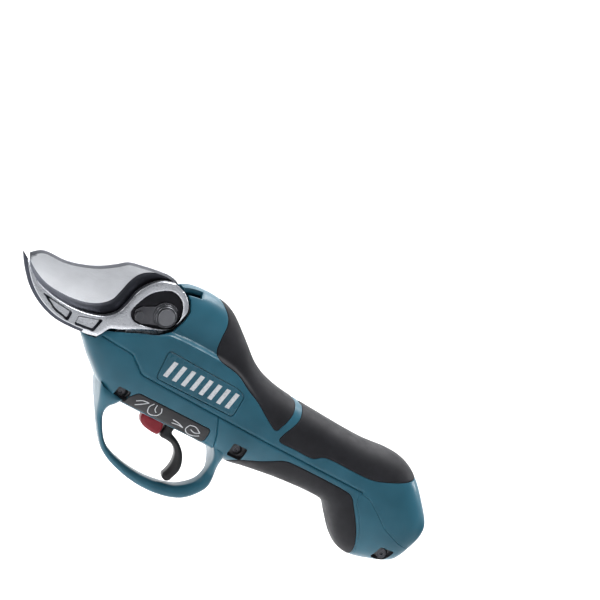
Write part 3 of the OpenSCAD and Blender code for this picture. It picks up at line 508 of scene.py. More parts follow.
class Finish:
    """A procedural material in the making: one Principled shader fed by noise in the piece's own space."""

    def __init__(self, name, **values):
        self.material = bpy.data.materials.new(name)
        self.material.use_nodes = True
        self.tree = self.material.node_tree
        self.shader = self.tree.nodes["Principled BSDF"]
        self.place = self.tree.nodes.new("ShaderNodeTexCoord").outputs["Object"]
        for key, value in values.items():
            self.set(key.replace("_", " "), value)

    def feed(self, socket, value):
        """Links or sets an input socket."""
        if isinstance(value, bpy.types.NodeSocket):
            self.tree.links.new(value, socket)
        else:
            socket.default_value = value

    def set(self, socket, value):
        """Links or sets one of the shader's inputs."""
        self.feed(self.shader.inputs[socket], value)

    def node(self, kind, inputs=None, **properties):
        """A new shader node with its inputs and properties."""
        made = self.tree.nodes.new("ShaderNode" + kind)
        for key, value in properties.items():
            setattr(made, key, value)
        for key, value in (inputs or {}).items():
            self.feed(made.inputs[key], value)
        return made

    def stretched(self, scale):
        """The piece's coordinates scaled per axis, in cells per metre."""
        return self.node("Mapping", {"Vector": self.place, "Scale": scale}).outputs["Vector"]

    def noise(self, cells, detail=3, roughness=0.6, stretch=(1, 1, 1)):
        """Noise with about this many cells per metre."""
        where = self.stretched(tuple(cells * k for k in stretch))
        inputs = {"Vector": where, "Scale": 1.0, "Detail": detail, "Roughness": roughness}
        return self.node("TexNoise", inputs).outputs["Fac"]

    def spots(self, cells):
        """Distance to the nearest of scattered points."""
        inputs = {"Vector": self.stretched((cells,) * 3), "Scale": 1.0}
        return self.node("TexVoronoi", inputs).outputs["Distance"]

    def between(self, factor, low, high, start=0.3, end=0.7):
        """A number that goes from low to high as the factor goes from start to end."""
        inputs = {"Value": factor, "From Min": start, "From Max": end, "To Min": low, "To Max": high}
        return self.node("MapRange", inputs).outputs["Result"]

    def blend(self, factor, low, high, start=0.3, end=0.7):
        """A colour that goes from low to high as the factor goes from start to end."""
        mix = self.node("Mix", data_type="RGBA")
        sockets = {s.identifier: s for s in mix.inputs}
        self.tree.links.new(self.between(factor, 0.0, 1.0, start, end), sockets["Factor_Float"])
        for key, colour in (("A_Color", low), ("B_Color", high)):
            self.feed(sockets[key], colour if isinstance(colour, bpy.types.NodeSocket) else (*colour, 1))
        return next(s for s in mix.outputs if s.identifier == "Result_Color")

    def wear(self, reach=0.0004, start=0.02, end=0.12):
        """1 along edges, broken up by noise, else 0."""
        rounded_normal = self.node("Bevel", {"Radius": reach}, samples=4).outputs["Normal"]
        flat_normal = self.node("NewGeometry").outputs["Normal"]
        same = self.node("VectorMath", {0: rounded_normal, 1: flat_normal}, operation="DOT_PRODUCT")
        turned_away = self.node("Math", {0: 1.0, 1: same.outputs["Value"]}, operation="SUBTRACT").outputs[0]
        uneven = self.between(self.noise(500), -0.02, 0.02)
        rough = self.node("Math", {0: turned_away, 1: uneven}, operation="ADD")
        return self.between(rough.outputs[0], 0.0, 1.0, start, end)

    def bump(self, *heights):
        """Bumps from (height socket, depth in metres) pairs, laid over one another."""
        normal = None
        for height, depth in heights:
            inputs = {"Height": height, "Distance": depth, "Strength": 1.0}
            if normal is not None:
                inputs["Normal"] = normal
            normal = self.node("Bump", inputs).outputs["Normal"]
        self.set("Normal", normal)
        return self.material


FINISHES = {}


def once(make_material):
    """Each material is made once and shared, and FINISHES lists it by name."""
    made = []

    def get():
        if not made:
            made.append(make_material())
        return made[0]
    FINISHES[make_material.__name__] = get
    return get


def moulded(name, colour, roughness, grain=0.00002, variation=0.12, coat=0.0):
    """Injection-moulded plastic: fine spark-eroded grain, slightly uneven gloss and paler rubbed edges."""
    f = Finish(name, Specular_IOR_Level=0.28, Coat_Weight=coat, Coat_Roughness=0.22)
    darker = tuple(c * (1 - variation) for c in colour)
    lighter = tuple(min(1, c * (1 + variation) + 0.004) for c in colour)
    base = f.blend(f.noise(45, 2), darker, lighter)
    base = f.blend(f.wear(), base, tuple(min(1, c * 1.3 + 0.012) for c in colour), 0, 1)
    f.set("Base Color", base)
    f.set("Roughness", f.between(f.noise(120, 4), roughness - 0.05, roughness + 0.06))
    return f.bump((f.noise(2600, 2, 0.7), grain), (f.noise(180, 2), 0.00003))


@once
def teal_plastic():
    return moulded("teal_plastic", (0.009, 0.074, 0.112), 0.34, coat=0.06)


@once
def panel_plastic():
    return moulded("panel_plastic", (0.01, 0.07, 0.105), 0.28, grain=0.000008, coat=0.12)


@once
def dark_panel():
    return moulded("dark_panel", (0.01, 0.01, 0.012), 0.42)


@once
def black_plastic():
    return moulded("black_plastic", (0.007, 0.007, 0.008), 0.33, variation=0.3)


@once
def red_plastic():
    return moulded("red_plastic", (0.19, 0.008, 0.016), 0.34, variation=0.15)


@once
def chip_plastic():
    return moulded("chip_plastic", (0.02, 0.02, 0.022), 0.45)


@once
def white_print():
    f = Finish("white_print", Roughness=0.5)
    f.set("Base Color", f.blend(f.noise(900, 4), (0.36, 0.37, 0.39), (0.5, 0.51, 0.53), 0.35, 0.5))
    return f.bump((f.noise(3000), 0.00001))


@once
def grip_rubber():
    f = Finish("grip_rubber", Specular_IOR_Level=0.18)
    f.set("Base Color", f.blend(f.noise(60, 3), (0.007, 0.007, 0.009), (0.012, 0.012, 0.015)))
    f.set("Roughness", f.between(f.noise(150, 3), 0.5, 0.66))
    return f.bump((f.noise(1900, 2, 0.7), 0.00005), (f.noise(90, 2), 0.00002))


@once
def seal_rubber():
    f = Finish("seal_rubber", Specular_IOR_Level=0.18)
    f.set("Base Color", f.blend(f.noise(80), (0.02, 0.02, 0.02), (0.035, 0.035, 0.035)))
    f.set("Roughness", f.between(f.noise(200), 0.6, 0.8))
    return f.bump((f.noise(1500), 0.00004))


def metal(name, colour, roughness, brushed=(1, 1, 1), brushing=0.000006, tarnish=0.15, uneven=0.000012):
    """Bare metal with brushing along the axis whose stretch is smallest."""
    f = Finish(name, Metallic=1.0)
    base = f.blend(f.noise(70, 4), tuple(c * (1 - tarnish) for c in colour), colour)
    base = f.blend(f.wear(), base, tuple(min(1, c * 1.15 + 0.03) for c in colour), 0, 1)
    f.set("Base Color", base)
    lines = f.noise(2200, 2, 0.7, brushed)
    f.set("Roughness", f.between(lines, roughness - 0.05, roughness + 0.07, 0.25, 0.75))
    return f.bump((lines, brushing), (f.noise(160, 3), uneven))


@once
def forged_steel():
    return metal("forged_steel", (0.5, 0.51, 0.54), 0.28, (0.3, 1, 1), uneven=0.00003)


@once
def blade_steel():
    return metal("blade_steel", (0.86, 0.87, 0.9), 0.2, (0.05, 1, 1))


@once
def hollow_band_painted_reflection():
    """Hollow-ground band of the blade, with a painted reflection: dark by the pivot, paler towards the tip.
    """
    f = Finish("hollow_band_painted_reflection", Metallic=1.0)
    along = f.node("SeparateXYZ", {0: f.place}).outputs["X"]
    lines = f.noise(2200, 2, 0.7, (1, 1, 0.08))
    f.set("Base Color", f.blend(along, (0.42, 0.43, 0.48), (0.05, 0.052, 0.062), -0.085, -0.035))
    f.set("Roughness", f.between(lines, 0.26, 0.38, 0.25, 0.75))
    return f.bump((lines, 0.00001), (f.noise(160, 3), 0.000012))


@once
def steel_painted_shade():
    """Painted shade: a dark copy of the steel for the counter blade's outer edge and the rims of its two
    pockets.
    """
    return metal("steel_painted_shade", (0.05, 0.053, 0.066), 0.32, (0.3, 1, 1))


@once
def bolt_steel():
    return metal("bolt_steel", (0.17, 0.172, 0.185), 0.34)


@once
def nut_steel():
    return metal("nut_steel", (0.085, 0.087, 0.095), 0.32)


# painted reflection: a darker copy of the blade steel, for the blade's bevelled back
@once
def bevel_painted_reflection():
    return metal("bevel_painted_reflection", (0.3, 0.305, 0.33), 0.3, (0.1, 1, 1))


# painted shade: near-black steel for the floor and walls of the hook's recess
@once
def recess_painted_shade():
    return metal("recess_painted_shade", (0.02, 0.02, 0.023), 0.4, uneven=0.00004)


@once
def gear_steel():
    return metal("gear_steel", (0.52, 0.53, 0.56), 0.3)


@once
def bronze():
    return metal("bronze", (0.55, 0.38, 0.16), 0.4, tarnish=0.35)


@once
def copper():
    return metal("copper", (0.6, 0.26, 0.12), 0.35, (1, 1, 0.1))


@once
def cast_alloy():
    f = Finish("cast_alloy", Metallic=1.0)
    f.set("Base Color", f.blend(f.noise(90, 4), (0.42, 0.43, 0.45), (0.58, 0.59, 0.61)))
    f.set("Roughness", f.between(f.noise(300), 0.42, 0.6))
    return f.bump((f.noise(1100, 3, 0.7), 0.00006))


@once
def dark_steel():
    f = Finish("dark_steel", Metallic=0.85)
    base = f.blend(f.noise(150, 4), (0.05, 0.05, 0.056), (0.085, 0.085, 0.093))
    f.set("Base Color", f.blend(f.wear(), base, (0.2, 0.2, 0.22), 0, 1))
    f.set("Roughness", f.between(f.noise(400, 3), 0.3, 0.46))
    return f.bump((f.noise(1500, 3), 0.00002))


@once
def lead_sheath():
    f = Finish("lead_sheath", Specular_IOR_Level=0.4)
    f.set("Base Color", f.blend(f.noise(90), (0.25, 0.02, 0.02), (0.35, 0.03, 0.03)))
    f.set("Roughness", f.between(f.noise(300), 0.4, 0.55))
    return f.bump((f.noise(900), 0.00003))


@once
def circuit_board():
    f = Finish("circuit_board", Specular_IOR_Level=0.5)
    track = f.spots(600)
    f.set("Base Color", f.blend(track, (0.02, 0.12, 0.05), (0.03, 0.2, 0.08), 0.35, 0.4))
    f.set("Roughness", f.between(f.noise(200), 0.3, 0.45))
    return f.bump((track, 0.00003))


# CAD nodes that look different from the rest of their material slot
SPECIAL = {"pivot_bolt": bolt_steel, "lock_screw": nut_steel}

# ---------------------------------------------------------------- outlines, as [x, z]

GUARD_OUTER = [[-14.5, -52], [-10.5, -61], [-1.5, -77], [11, -91], [31, -98], [50.5, -99], [67, -94.5],
               [77, -84], [78.4, -75], [75.8, -65], [74, -54]]
GUARD_INNER = [[64.5, -55], [69, -61], [71.4, -67], [72.2, -74], [69, -82], [58.5, -89.5], [41, -92.5],
               [22.5, -90.5], [9, -85], [0.3, -73], [-2.2, -65], [0.5, -59.5], [3, -55]]
FRONT_GRIP = [[26.5, 24], [30.5, 21], [34.5, 17], [36.5, 12], [36.5, 4], [37.5, -4], [42, -8], [55, -10.5],
              [65, -15.5], [75, -20], [85, -26], [93, -30], [96, -26], [98.8, -18], [99, -12], [98, -7]]
REAR_GRIP = [[103, -7], [104.2, -14], [103.5, -20], [98.5, -31], [99.5, -35], [110, -35], [122, -35],
             [128, -31.5], [135, -30.5], [155, -30.5], [165, -29.5], [175, -26], [185, -21.5], [193, -16]]
LOWER_GRIP = [[76, -62.5], [81, -57.5], [95, -51], [103, -46.5], [108, -44], [116, -43], [148, -43],
              [156, -44.5], [161, -50], [168, -59], [173.5, -68], [176.5, -75], [178.5, -82]]
COVER_FRONT = [[160, -40], [161, -46], [166, -52.5], [171.5, -61], [175.5, -70], [178, -76], [179.3, -82]]
COVER_TOP = [[160, -40], [167, -41], [175, -46], [185, -53], [198, -57.5], [212, -58.5]]
LABEL = [[-0.5, -57.2], [7.5, -46.8], [57, -46.8], [57.8, -50], [57.8, -57.2]]
NAME_PANEL = [[10.5, -16], [60, -17.6], [65.5, -20], [65, -34.5], [11.5, -34.5]]
JAW_POCKET = [[3, 19.8], [9.5, 15.5], [12.5, 9], [11.5, 2], [8.5, -5.5], [1, -11], [-10, -15.8], [-20, -20.5],
              [-27, -24], [-30, -30.5], [-36.9, -32.7]]
SIDE_SEAM = [[-27, -27.4], [-19, -28], [-8, -28.5], [-4, -31], [0, -34], [4, -36.5], [12, -36.8], [60, -38],
             [100, -39], [161, -39.3]]
LOWER_SEAM = [[57, -38], [61, -46], [65, -56], [68, -60]]
SCREW_SITES = [[-1, -52], [79, -52]]
COVER_SCREW = [194, -68.5]
WELL_RADIUS = 3.4
SCREW_POCKETS = [[[-5, -56.4], [-5, -48.6], [3.6, -48.6], [3.6, -56.4]],
                 [[74, -56.6], [74, -47.8], [84, -47.8], [84, -56.6]]]
COVER_POCKET = [[189.4, -64], [199.4, -63.4], [197.6, -73.6], [188, -73]]
POCKET_CORNER = 1.4
COVER_POCKET_CORNER = 1.2
POCKET_DEPTH = 2.2
SCREW_HEAD_Y = -11
SEAT_THICKNESS = 1.5
GRIP_DEPTH = 2
PANEL_DEPTH = 1.2
INLAY_GAP = 0.05
NAME_CORNER, LABEL_CORNER = 2.5, 2
CONTROL_SLOT = [18.2, 44.8]
PAST_RIM = 2
CONTROL_SLOT_HALF = 5.6
BOLT_HEAD_HOLE = 9.2
CROWN_SLOT_X = [0, 15.5]
CROWN_SLOT_Y = [6.35, 11.05]
INLET_MOUTH = [207, -58]
INLET_SLOPE = math.radians(20)
INLET_HOLE = 9.5

GUARD_HALF, GUARD_FLARE = 6.4, 10
FLARE_START, FLARE_HEIGHT = -74, 18
GUARD_EDGE = 3.4
GUARD_BANDS = (0.15, 0.45, 0.9, 1.5, 2.2, 3.0)

side, top, bottom = Patch("side"), Patch("top"), Patch("bottom")


def below_top(curve):
    """The stretch of an [x, z] curve that is on the body, without its run above the crown."""
    return curve[curve[:, 1] < top_at(curve[:, 0]) - 0.02]


def above_bottom(curve):
    return curve[curve[:, 1] > bottom_at(curve[:, 0]) + 0.02]


def over_crown(curve, patch):
    """Chart loop of an area that reaches over the crown, cut off a little past the centre line."""
    on = below_top(spline(curve))
    first, last = curve[0][0], curve[-1][0]
    ends = [patch.chart([first, first], [-PAST_RIM, 0]), patch.chart([last, last], [0, -PAST_RIM])]
    return np.concatenate([ends[0], patch.flat(on), ends[1]])


def under_floor(curve, patch):
    """Chart loop of an area that reaches round the underside, cut off a little past the centre line."""
    on = above_bottom(spline(curve))
    first, last = curve[0][0], curve[-1][0]
    length = np.interp([first, last], skin.x, skin.length)
    ends = [patch.chart([first, first], [length[0] + PAST_RIM, length[0]]),
            patch.chart([last, last], [length[1], length[1] + PAST_RIM])]
    return np.concatenate([ends[0], patch.flat(on), ends[1]])


def crown_slot():
    """Chart loop of the slot that the back of the open blade passes through."""
    x = np.linspace(*CROWN_SLOT_X, 24)
    inner, outer = (side.chart(x, skin.s_at_width(x, y)) for y in CROWN_SLOT_Y)
    return np.concatenate([inner, outer[::-1]])


def inlet_hole(patch, turns=72, reach=24):
    """Chart loop of the round hole in the butt, found outwards from where the inlet's axis comes out."""
    axis = np.array([math.cos(INLET_SLOPE), 0, -math.sin(INLET_SLOPE)])
    mouth = np.array([INLET_MOUTH[0], 0, INLET_MOUTH[1]])

    def off_axis(flat):
        from_mouth = patch.place(flat, 0) - mouth
        return np.linalg.norm(from_mouth - np.outer(from_mouth @ axis, axis), axis=1)

    x = np.linspace(INLET_MOUTH[0] - 4, BUTT_X, 200)
    line = patch.chart(x, np.interp(x, skin.x, skin.length))
    middle = line[np.argmin(off_axis(line))]
    loop = []
    for a in np.arange(turns) * 2 * math.pi / turns:
        r = np.linspace(0, reach, 160)
        ray = middle + np.stack([r * math.cos(a), r * math.sin(a)], axis=1)
        radius = np.maximum.accumulate(off_axis(ray))
        loop.append(middle + np.interp(INLET_HOLE, radius, r) * np.array([math.cos(a), math.sin(a)]))
    return np.array(loop)


def control_slot():
    """Chart loop of one side of the opening in the floor for the trigger and the lock lever."""
    x = np.linspace(*CONTROL_SLOT, 30)
    length = np.interp(x, skin.x, skin.length)
    return np.concatenate([side.chart(x, length - CONTROL_SLOT_HALF),
                           side.chart(x[::-1], length[::-1] + PAST_RIM)])


def jaw_hole():
    """Chart loop of the open pocket that the jaws lie in, carried past the body's top and its front end."""
    jaw = side.flat(straight(JAW_POCKET, 0.8, False))
    top_end = [side.chart([0, 3], -3), side.chart([3], 0)]
    front_end = side.chart([NOSE_X - 1] * 2, [1, -40])
    front_end[:, 0] = skin.u[0] - PAST_RIM
    return np.concatenate([*top_end, jaw, front_end])


def cover_edges(patch):
    """Chart lines of the end cover's front and upper edges on one side."""
    front = patch.flat(above_bottom(spline(COVER_FRONT)))[::-1]
    upper = patch.flat(straight(COVER_TOP, 0.8, False))[1:]
    return front, upper


def cover_hole():
    """Chart loop of the part of one side that the end cover takes up."""
    ends = [BUTT_X, COVER_FRONT[-1][0]]
    past_floor = np.interp(ends, skin.x, skin.length) + 3
    return np.concatenate([*cover_edges(side), side.chart(ends, past_floor)])


def shell_lift(flat, rim_gap, steps, grooves, edge=0.3):
    """Height of the shell's outer face: rounded rims, steps for inlays and grooves for seams."""
    lift = -edge_round(rim_gap, edge)
    for loop, depth in steps:
        gap = distance(flat, sides([loop]))
        within = inside(flat, loop) & (gap > CREASE_MARGIN)
        lift = np.where(within, np.minimum(lift, -depth), lift - np.where(within, 0, edge_round(gap, edge)))
    for line, half_width, depth in grooves:
        lift -= groove(distance(flat, sides([line], False)), half_width, depth)
    return lift


def wall_at(x):
    """Thickness of the shell, thinner towards its two ends."""
    return END_WALL + EXTRA_WALL * smooth((x - NOSE_X) / 12) * smooth((BUTT_X - x) / 7)


def with_screws(flat, lift, patch, pockets, wells, least_wall):
    """The outer and inner sheets of a shell, with its screw pockets and the wells of the screw heads."""
    for pocket in pockets:
        lift = lift - np.where(well_inside(flat, pocket), POCKET_DEPTH, 0)
    front = patch.place(flat, lift)
    back = patch.place(flat, np.minimum(lift - least_wall, -wall_at(patch.x(flat))))
    for well in wells:
        seat = well_inside(flat, well)
        front[seat, 1] = SCREW_HEAD_Y
        back[seat, 1] = SCREW_HEAD_Y + SEAT_THICKNESS
    return front, back


def half_shell(name, near):
    """Half of the housing, with its guard half: the -Y one with the jaw pocket if near, else the +Y one."""
    ends = np.array([NOSE_X, BUTT_X])
    x = np.linspace(*ends, 260)
    length = np.interp(x, skin.x, skin.length)
    outline = np.concatenate([side.chart(x, 0), side.chart(x, length)[::-1]])
    holes = [cover_hole(), control_slot(), inlet_hole(side)]
    holes += [jaw_hole(), crown_slot()] if near else [side.flat(circle([0, 0], BOLT_HEAD_HOLE))]
    grips = [over_crown(FRONT_GRIP, side), over_crown(REAR_GRIP, side), under_floor(LOWER_GRIP, side)]
    panels = [side.flat(rounded(NAME_PANEL, NAME_CORNER)), side.flat(rounded(LABEL, LABEL_CORNER))]
    steps = [(grip, GRIP_DEPTH) for grip in grips] + [(panel, PANEL_DEPTH) for panel in panels]
    pockets = [side.flat(rounded(pocket, POCKET_CORNER)) for pocket in SCREW_POCKETS]
    wells = [side.flat(circle(site, WELL_RADIUS)) for site in SCREW_SITES]
    side_seam, lower_seam = side.flat(spline(SIDE_SEAM)), side.flat(spline(LOWER_SEAM))
    flat, faces, rim = flat_mesh(outline, holes, grips + panels + pockets + wells, [side_seam, lower_seam])
    lift = shell_lift(flat, rim, steps, [(side_seam, 0.75, 1.0), (lower_seam, 0.65, 0.8)])
    front, back = with_screws(flat, lift, side, pockets, wells, 1.1)
    mesh = joined(closed_sheet(front, back, faces), guard_half())
    obj = make(name, mesh if near else far_side(mesh), teal_plastic())
    # The screw pockets' floors and walls get the near-black panel colour as painted shade.
    return paint(obj, (dark_panel(), lambda p: in_pocket_painted_shade(p, SCREW_POCKETS)))


def in_pocket_painted_shade(points, pockets):
    """True for points on the floors and walls of screw pockets, which get painted shade."""
    deep = np.zeros(len(points), bool)
    for pocket in pockets:
        deep |= inside(points[:, [0, 2]], rounded(pocket, POCKET_CORNER))
    skin_y = -skin.points(points[:, 0], skin.s_at(points[:, 0], points[:, 2]))[:, 1]
    return deep & (np.abs(points[:, 1]) < skin_y - 0.5)


def guard_half():
    """The -Y half of the finger guard, a round-edged bar that widens where it meets the body."""
    outline = np.concatenate([spline(GUARD_OUTER), spline(GUARD_INNER)])
    flat, faces, rim = flat_mesh(outline, spacing=1.5, bands=GUARD_BANDS)
    width = GUARD_HALF + GUARD_FLARE * smooth((flat[:, 1] - FLARE_START) / FLARE_HEIGHT)
    front = np.stack([flat[:, 0], -(width - edge_round(rim, GUARD_EDGE)), flat[:, 1]], axis=1)
    back = np.stack([flat[:, 0], 0 * rim, flat[:, 1]], axis=1)
    return closed_sheet(front, back, faces)


def inlay(loop, patch, depth, proud, edge):
    """Mesh of a piece let into the body: its face stands proud of the skin, with round edges."""
    flat, faces, rim = flat_mesh(loop)
    return closed_sheet(patch.place(flat, proud - edge_round(rim, edge)), patch.place(flat, -depth), faces)


def both_sides(loop):
    """A chart loop that starts and ends on a centre line, with its mirror image, as one loop."""
    return np.concatenate([loop, (loop * [1, -1])[::-1][1:-1]])


def plate(outline, near_y, far_y, edge, holes=(), creases=(), lines=(), relief=None, spacing=1.2,
          far_edge=0.0, bands=BANDS):
    """Mesh of a flat piece in the XZ plane, with round edges and a relief (depths) on its near face."""
    flat, faces, rim = flat_mesh(outline, holes, creases, lines, spacing, bands)
    depth = edge_round(rim, edge)
    if relief is not None:
        depth = depth + relief(flat)
    front = np.stack([flat[:, 0], near_y + depth, flat[:, 1]], axis=1)
    far_depth = edge_round(rim, far_edge) if far_edge else 0 * rim
    back = np.stack([flat[:, 0], far_y - far_depth, flat[:, 1]], axis=1)
    return closed_sheet(front, back, faces)


def joined(*meshes):
    """Several (points, faces) meshes as one."""
    start, verts, faces = 0, [], []
    for v, f in meshes:
        verts.append(v)
        faces.append(np.asarray(f) + start)
        start += len(v)
    return np.concatenate(verts), np.concatenate(faces)


def far_side(mesh):
    """The mirror image of a mesh on the other side of the tool."""
    verts, faces = mesh
    return verts * [1, -1, 1], faces


def turned(rings, middle, segments=64):
    """Mesh of a piece turned about a line along Y through [x, z], from a closed loop of [radius, y] rings."""
    a = np.arange(segments) * 2 * math.pi / segments
    verts = np.concatenate([
        np.stack([middle[0] + r * np.cos(a), 0 * a + y, middle[1] + r * np.sin(a)], axis=1)
        for r, y in rings])
    faces = []
    for i in range(len(rings)):
        j = (i + 1) % len(rings)
        for k in range(segments):
            m = (k + 1) % segments
            faces += [(i * segments + k, i * segments + m, j * segments + m),
                      (i * segments + k, j * segments + m, j * segments + k)]
    return verts, np.array(faces)


# ---------------------------------------------------------------- housing, grips and panels


def end_cover():
    """The cap over the butt's underside, from one side round the bottom to the other."""
    x_end = [COVER_FRONT[-1][0]]
    lowest = bottom.chart(x_end, np.interp(x_end, skin.x, skin.length))
    hind = bottom.chart([BUTT_X], np.interp([BUTT_X], skin.x, skin.length))
    loop = both_sides(np.concatenate([lowest, *cover_edges(bottom), hind]))
    pocket = bottom.flat(rounded(COVER_POCKET, COVER_POCKET_CORNER))
    pockets = [pocket, pocket * [1, -1]]
    well = bottom.flat(circle(COVER_SCREW, WELL_RADIUS))
    flat, faces, rim = flat_mesh(loop, [inlet_hole(bottom)], [*pockets, well])
    front, back = with_screws(flat, -edge_round(rim, 0.35), bottom, pockets, [well], 1)
    return closed_sheet(front, back, faces)


def attach(obj, body, slot, *nodes):
    """Puts a piece on its body in place of CAD nodes."""
    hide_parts(*nodes)
    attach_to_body(obj, body)


attach(half_shell("shell_left", True), "tool", "teal_plastic", "housing_left")
attach(half_shell("shell_right", False), "tool", "teal_plastic", "housing_right")
# The cover's screw pocket gets the near-black panel colour as painted shade.
cover = paint(make("cover", end_cover(), teal_plastic()), (dark_panel(), lambda p: in_pocket_painted_shade(p, [COVER_POCKET])))
attach(cover, "tool", "teal_plastic", "end_cover")

front_grip = both_sides(over_crown(FRONT_GRIP, top)[1:-1])
rear_grip = both_sides(over_crown(REAR_GRIP, top)[1:-1])
lower_grip = both_sides(under_floor(LOWER_GRIP, bottom)[1:-1])
for name, loop, patch, node in (("grip_front", front_grip, top, "front_grip"),
                                ("grip_rear", rear_grip, top, "rear_grip"),
                                ("grip_lower", lower_grip, bottom, "lower_grip")):
    shape = inlay(loop, patch, depth=GRIP_DEPTH - INLAY_GAP, proud=0.15, edge=0.9)
    attach(make(name, shape, grip_rubber()), "tool", "grip_rubber", node)


def stroke(points, width):
    """Outline of a line of the given width drawn through points."""
    line = spline(points) if len(points) > 2 else straight(points, 0.8, False)
    return np.concatenate([beside(line, width / 2), beside(line, -width / 2)[::-1]])


def printed(base, marks, loop, holes, name, far, material):
    """A panel let into one side of the body, with marks in raised print."""
    marks = [side.flat(mark) for mark in marks]
    flat, faces, rim = flat_mesh(loop, holes, marks, spacing=1.2)
    proud = base - edge_round(rim, 0.6)
    on_mark = np.zeros(len(flat), bool)
    for mark in marks:
        on_mark |= well_inside(flat, mark, 0.04)
    front = side.place(flat, proud + np.where(on_mark, PRINT_HEIGHT, 0))
    back = side.place(flat, INLAY_GAP - PANEL_DEPTH)
    mesh = closed_sheet(front, back, faces)
    obj = make(name, far_side(mesh) if far else mesh, material)
    obj.data.materials.append(white_print())
    middles = flat[faces].mean(axis=1)
    index = np.zeros(len(obj.data.polygons), np.int32)
    for mark in marks:
        index[:len(faces)] |= inside(middles, mark)
    obj.data.polygons.foreach_set("material_index", index)
    return obj


# print on the label: the jaws open beside a raised finger, and shut beside a pulled one
HAND_OPEN = [[[8.6, -52], [12, -50], [16, -49.6]], [[9.4, -54.6], [13, -52], [16, -49.6]],
             [[19, -48.6], [17.4, -51.6], [18.6, -55], [21.6, -55.8], [24.6, -54.4]],
             [[21, -48.4], [21.2, -51.4], [23, -53]], [[24.6, -54.4], [25.6, -51.6], [24.4, -49]]]
HAND_SHUT = [[[34, -52], [38, -52.4], [42, -53.8]], [[34.6, -54.2], [38.6, -53.6], [42, -53.8]],
             [[44.6, -50.4], [43.8, -53.6], [46.4, -55.8], [50.4, -55.6], [53.4, -53.8]],
             [[46.6, -52.6], [49.8, -53.4], [52.6, -52]], [[44.6, -50.4], [48.4, -49.8], [52.6, -52]]]
STRIPES = 8
STRIPE_PITCH = 6.1
PRINT_HEIGHT = 0.12

pictograms = [stroke(line, 0.5) for line in (*HAND_OPEN, *HAND_SHUT)]
stripe = np.array([[14.5, -31], [17.3, -31], [19.3, -20.6], [16.5, -20.6]])
stripes = [straight(stripe + [i * STRIPE_PITCH, 0], 0.9) for i in range(STRIPES)]
screw_cut = side.flat(rounded(SCREW_POCKETS[0], POCKET_CORNER))
for hand, far in (("left", False), ("right", True)):
    panel = side.flat(shrunk(NAME_PANEL, 0.35, 2.2))
    made = printed(0.3, stripes, panel, (), "name_plate_" + hand, far, panel_plastic())
    attach(made, "tool", "panel_plastic", "name_panel_" + hand)
    label = side.flat(shrunk(LABEL, 0.25, 1.8))
    made = printed(0.05, pictograms, label, [screw_cut], "label_" + hand, far, dark_panel())
    attach(made, "tool", "dark_panel", "trigger_panel_" + hand)

# ---------------------------------------------------------------- jaws

HOOK_NEAR, HOOK_FAR = -17, -10.5
RECESS_DEPTH = 3
SLOT_DEPTH = 2.6
SLOT_RIM = 1.2
OUTER_EDGE = 2.1
SPINE_EDGE = 1.8
BLADE_NEAR, BLADE_FAR = -10.45, -7
HOOK_TIP_START, HOOK_TIP_LENGTH, HOOK_TIP_FALL = -62, 34, 1.8
HOLLOW_WIDTH, HOLLOW_DEPTH = 7, 1.25
GRIND_WIDTH, GRIND_DEPTH = 0.5, 0.25
HOOK_INNER = [[-88.5, -7], [-82, -13.2], [-75, -17], [-65, -19.6], [-55, -20.5], [-45, -20], [-35, -17.5],
              [-30, -14.6], [-26, -10], [-24, -4], [-22.3, 4], [-20, 9], [-16, 14], [-11, 17.8], [-4, 19.8]]
HOOK_OUTER = [[2.5, 18], [7, 14.5], [10.2, 9], [9.3, 2.5], [7, -3.5], [2, -8.8], [-10, -14.5], [-20, -19],
              [-26, -21.5], [-28.7, -26], [-30.8, -29]]
HOOK_FRONT = [[-36, -30.4], [-46, -31.3], [-58, -31], [-70, -27.2], [-80, -20.7], [-88, -12], [-93.5, -4]]
RECESS = [[-20, -5], [-17.5, -10.2], [-12, -11.2], [-3, -9.3], [4.2, -6.4], [7.8, -1], [8, 5], [5, 11.5],
          [0, 14.6], [-5, 14.8], [-11, 11.5], [-16, 6]]
FRONT_SLOT = [[-72, -20.2], [-50.5, -22.4], [-50.5, -28.8], [-61, -26.5]]
REAR_SLOT = [[-46.5, -22.6], [-32, -18.4], [-34, -27.4], [-46.5, -28.8]]
FOOT = [[-16, -16.5], [-15, -34], [4, -34], [4, -8], [-4, -9]]
BOLT_HOLE = 5.05
PLATE_NEAR = -15.3
BLADE_SPINE = [[-88, -4], [-81, 1], [-68, 1.6], [-58, 4], [-48, 8], [-40, 13], [-33.5, 17.8], [-26, 19.6],
               [-18, 21], [-9, 22], [-3, 21]]
BLADE_EYE = [[2.5, 17.5], [6.5, 12.5], [9, 6], [9.6, 0], [8.6, -5], [5, -8.5], [-2, -11]]
BLADE_EDGE = [[-14, -15], [-24, -20.5], [-36, -23], [-50, -23.6], [-64, -22.5], [-76, -18], [-85, -11]]
GRIND_LINE = [[-89.5, -5], [-82, -10.5], [-75, -14], [-67, -16], [-55, -16.2], [-45, -14.6], [-37, -11],
              [-32, -6], [-30, 0], [-28, 8], [-25, 14], [-20, 18], [-13, 20.6], [-8, 21.6]]


def ramp(points, line, width):
    """1 on a line, falling to 0 at a distance of width."""
    return np.clip(1 - distance(points, sides([line], False)) / width, 0, 1)


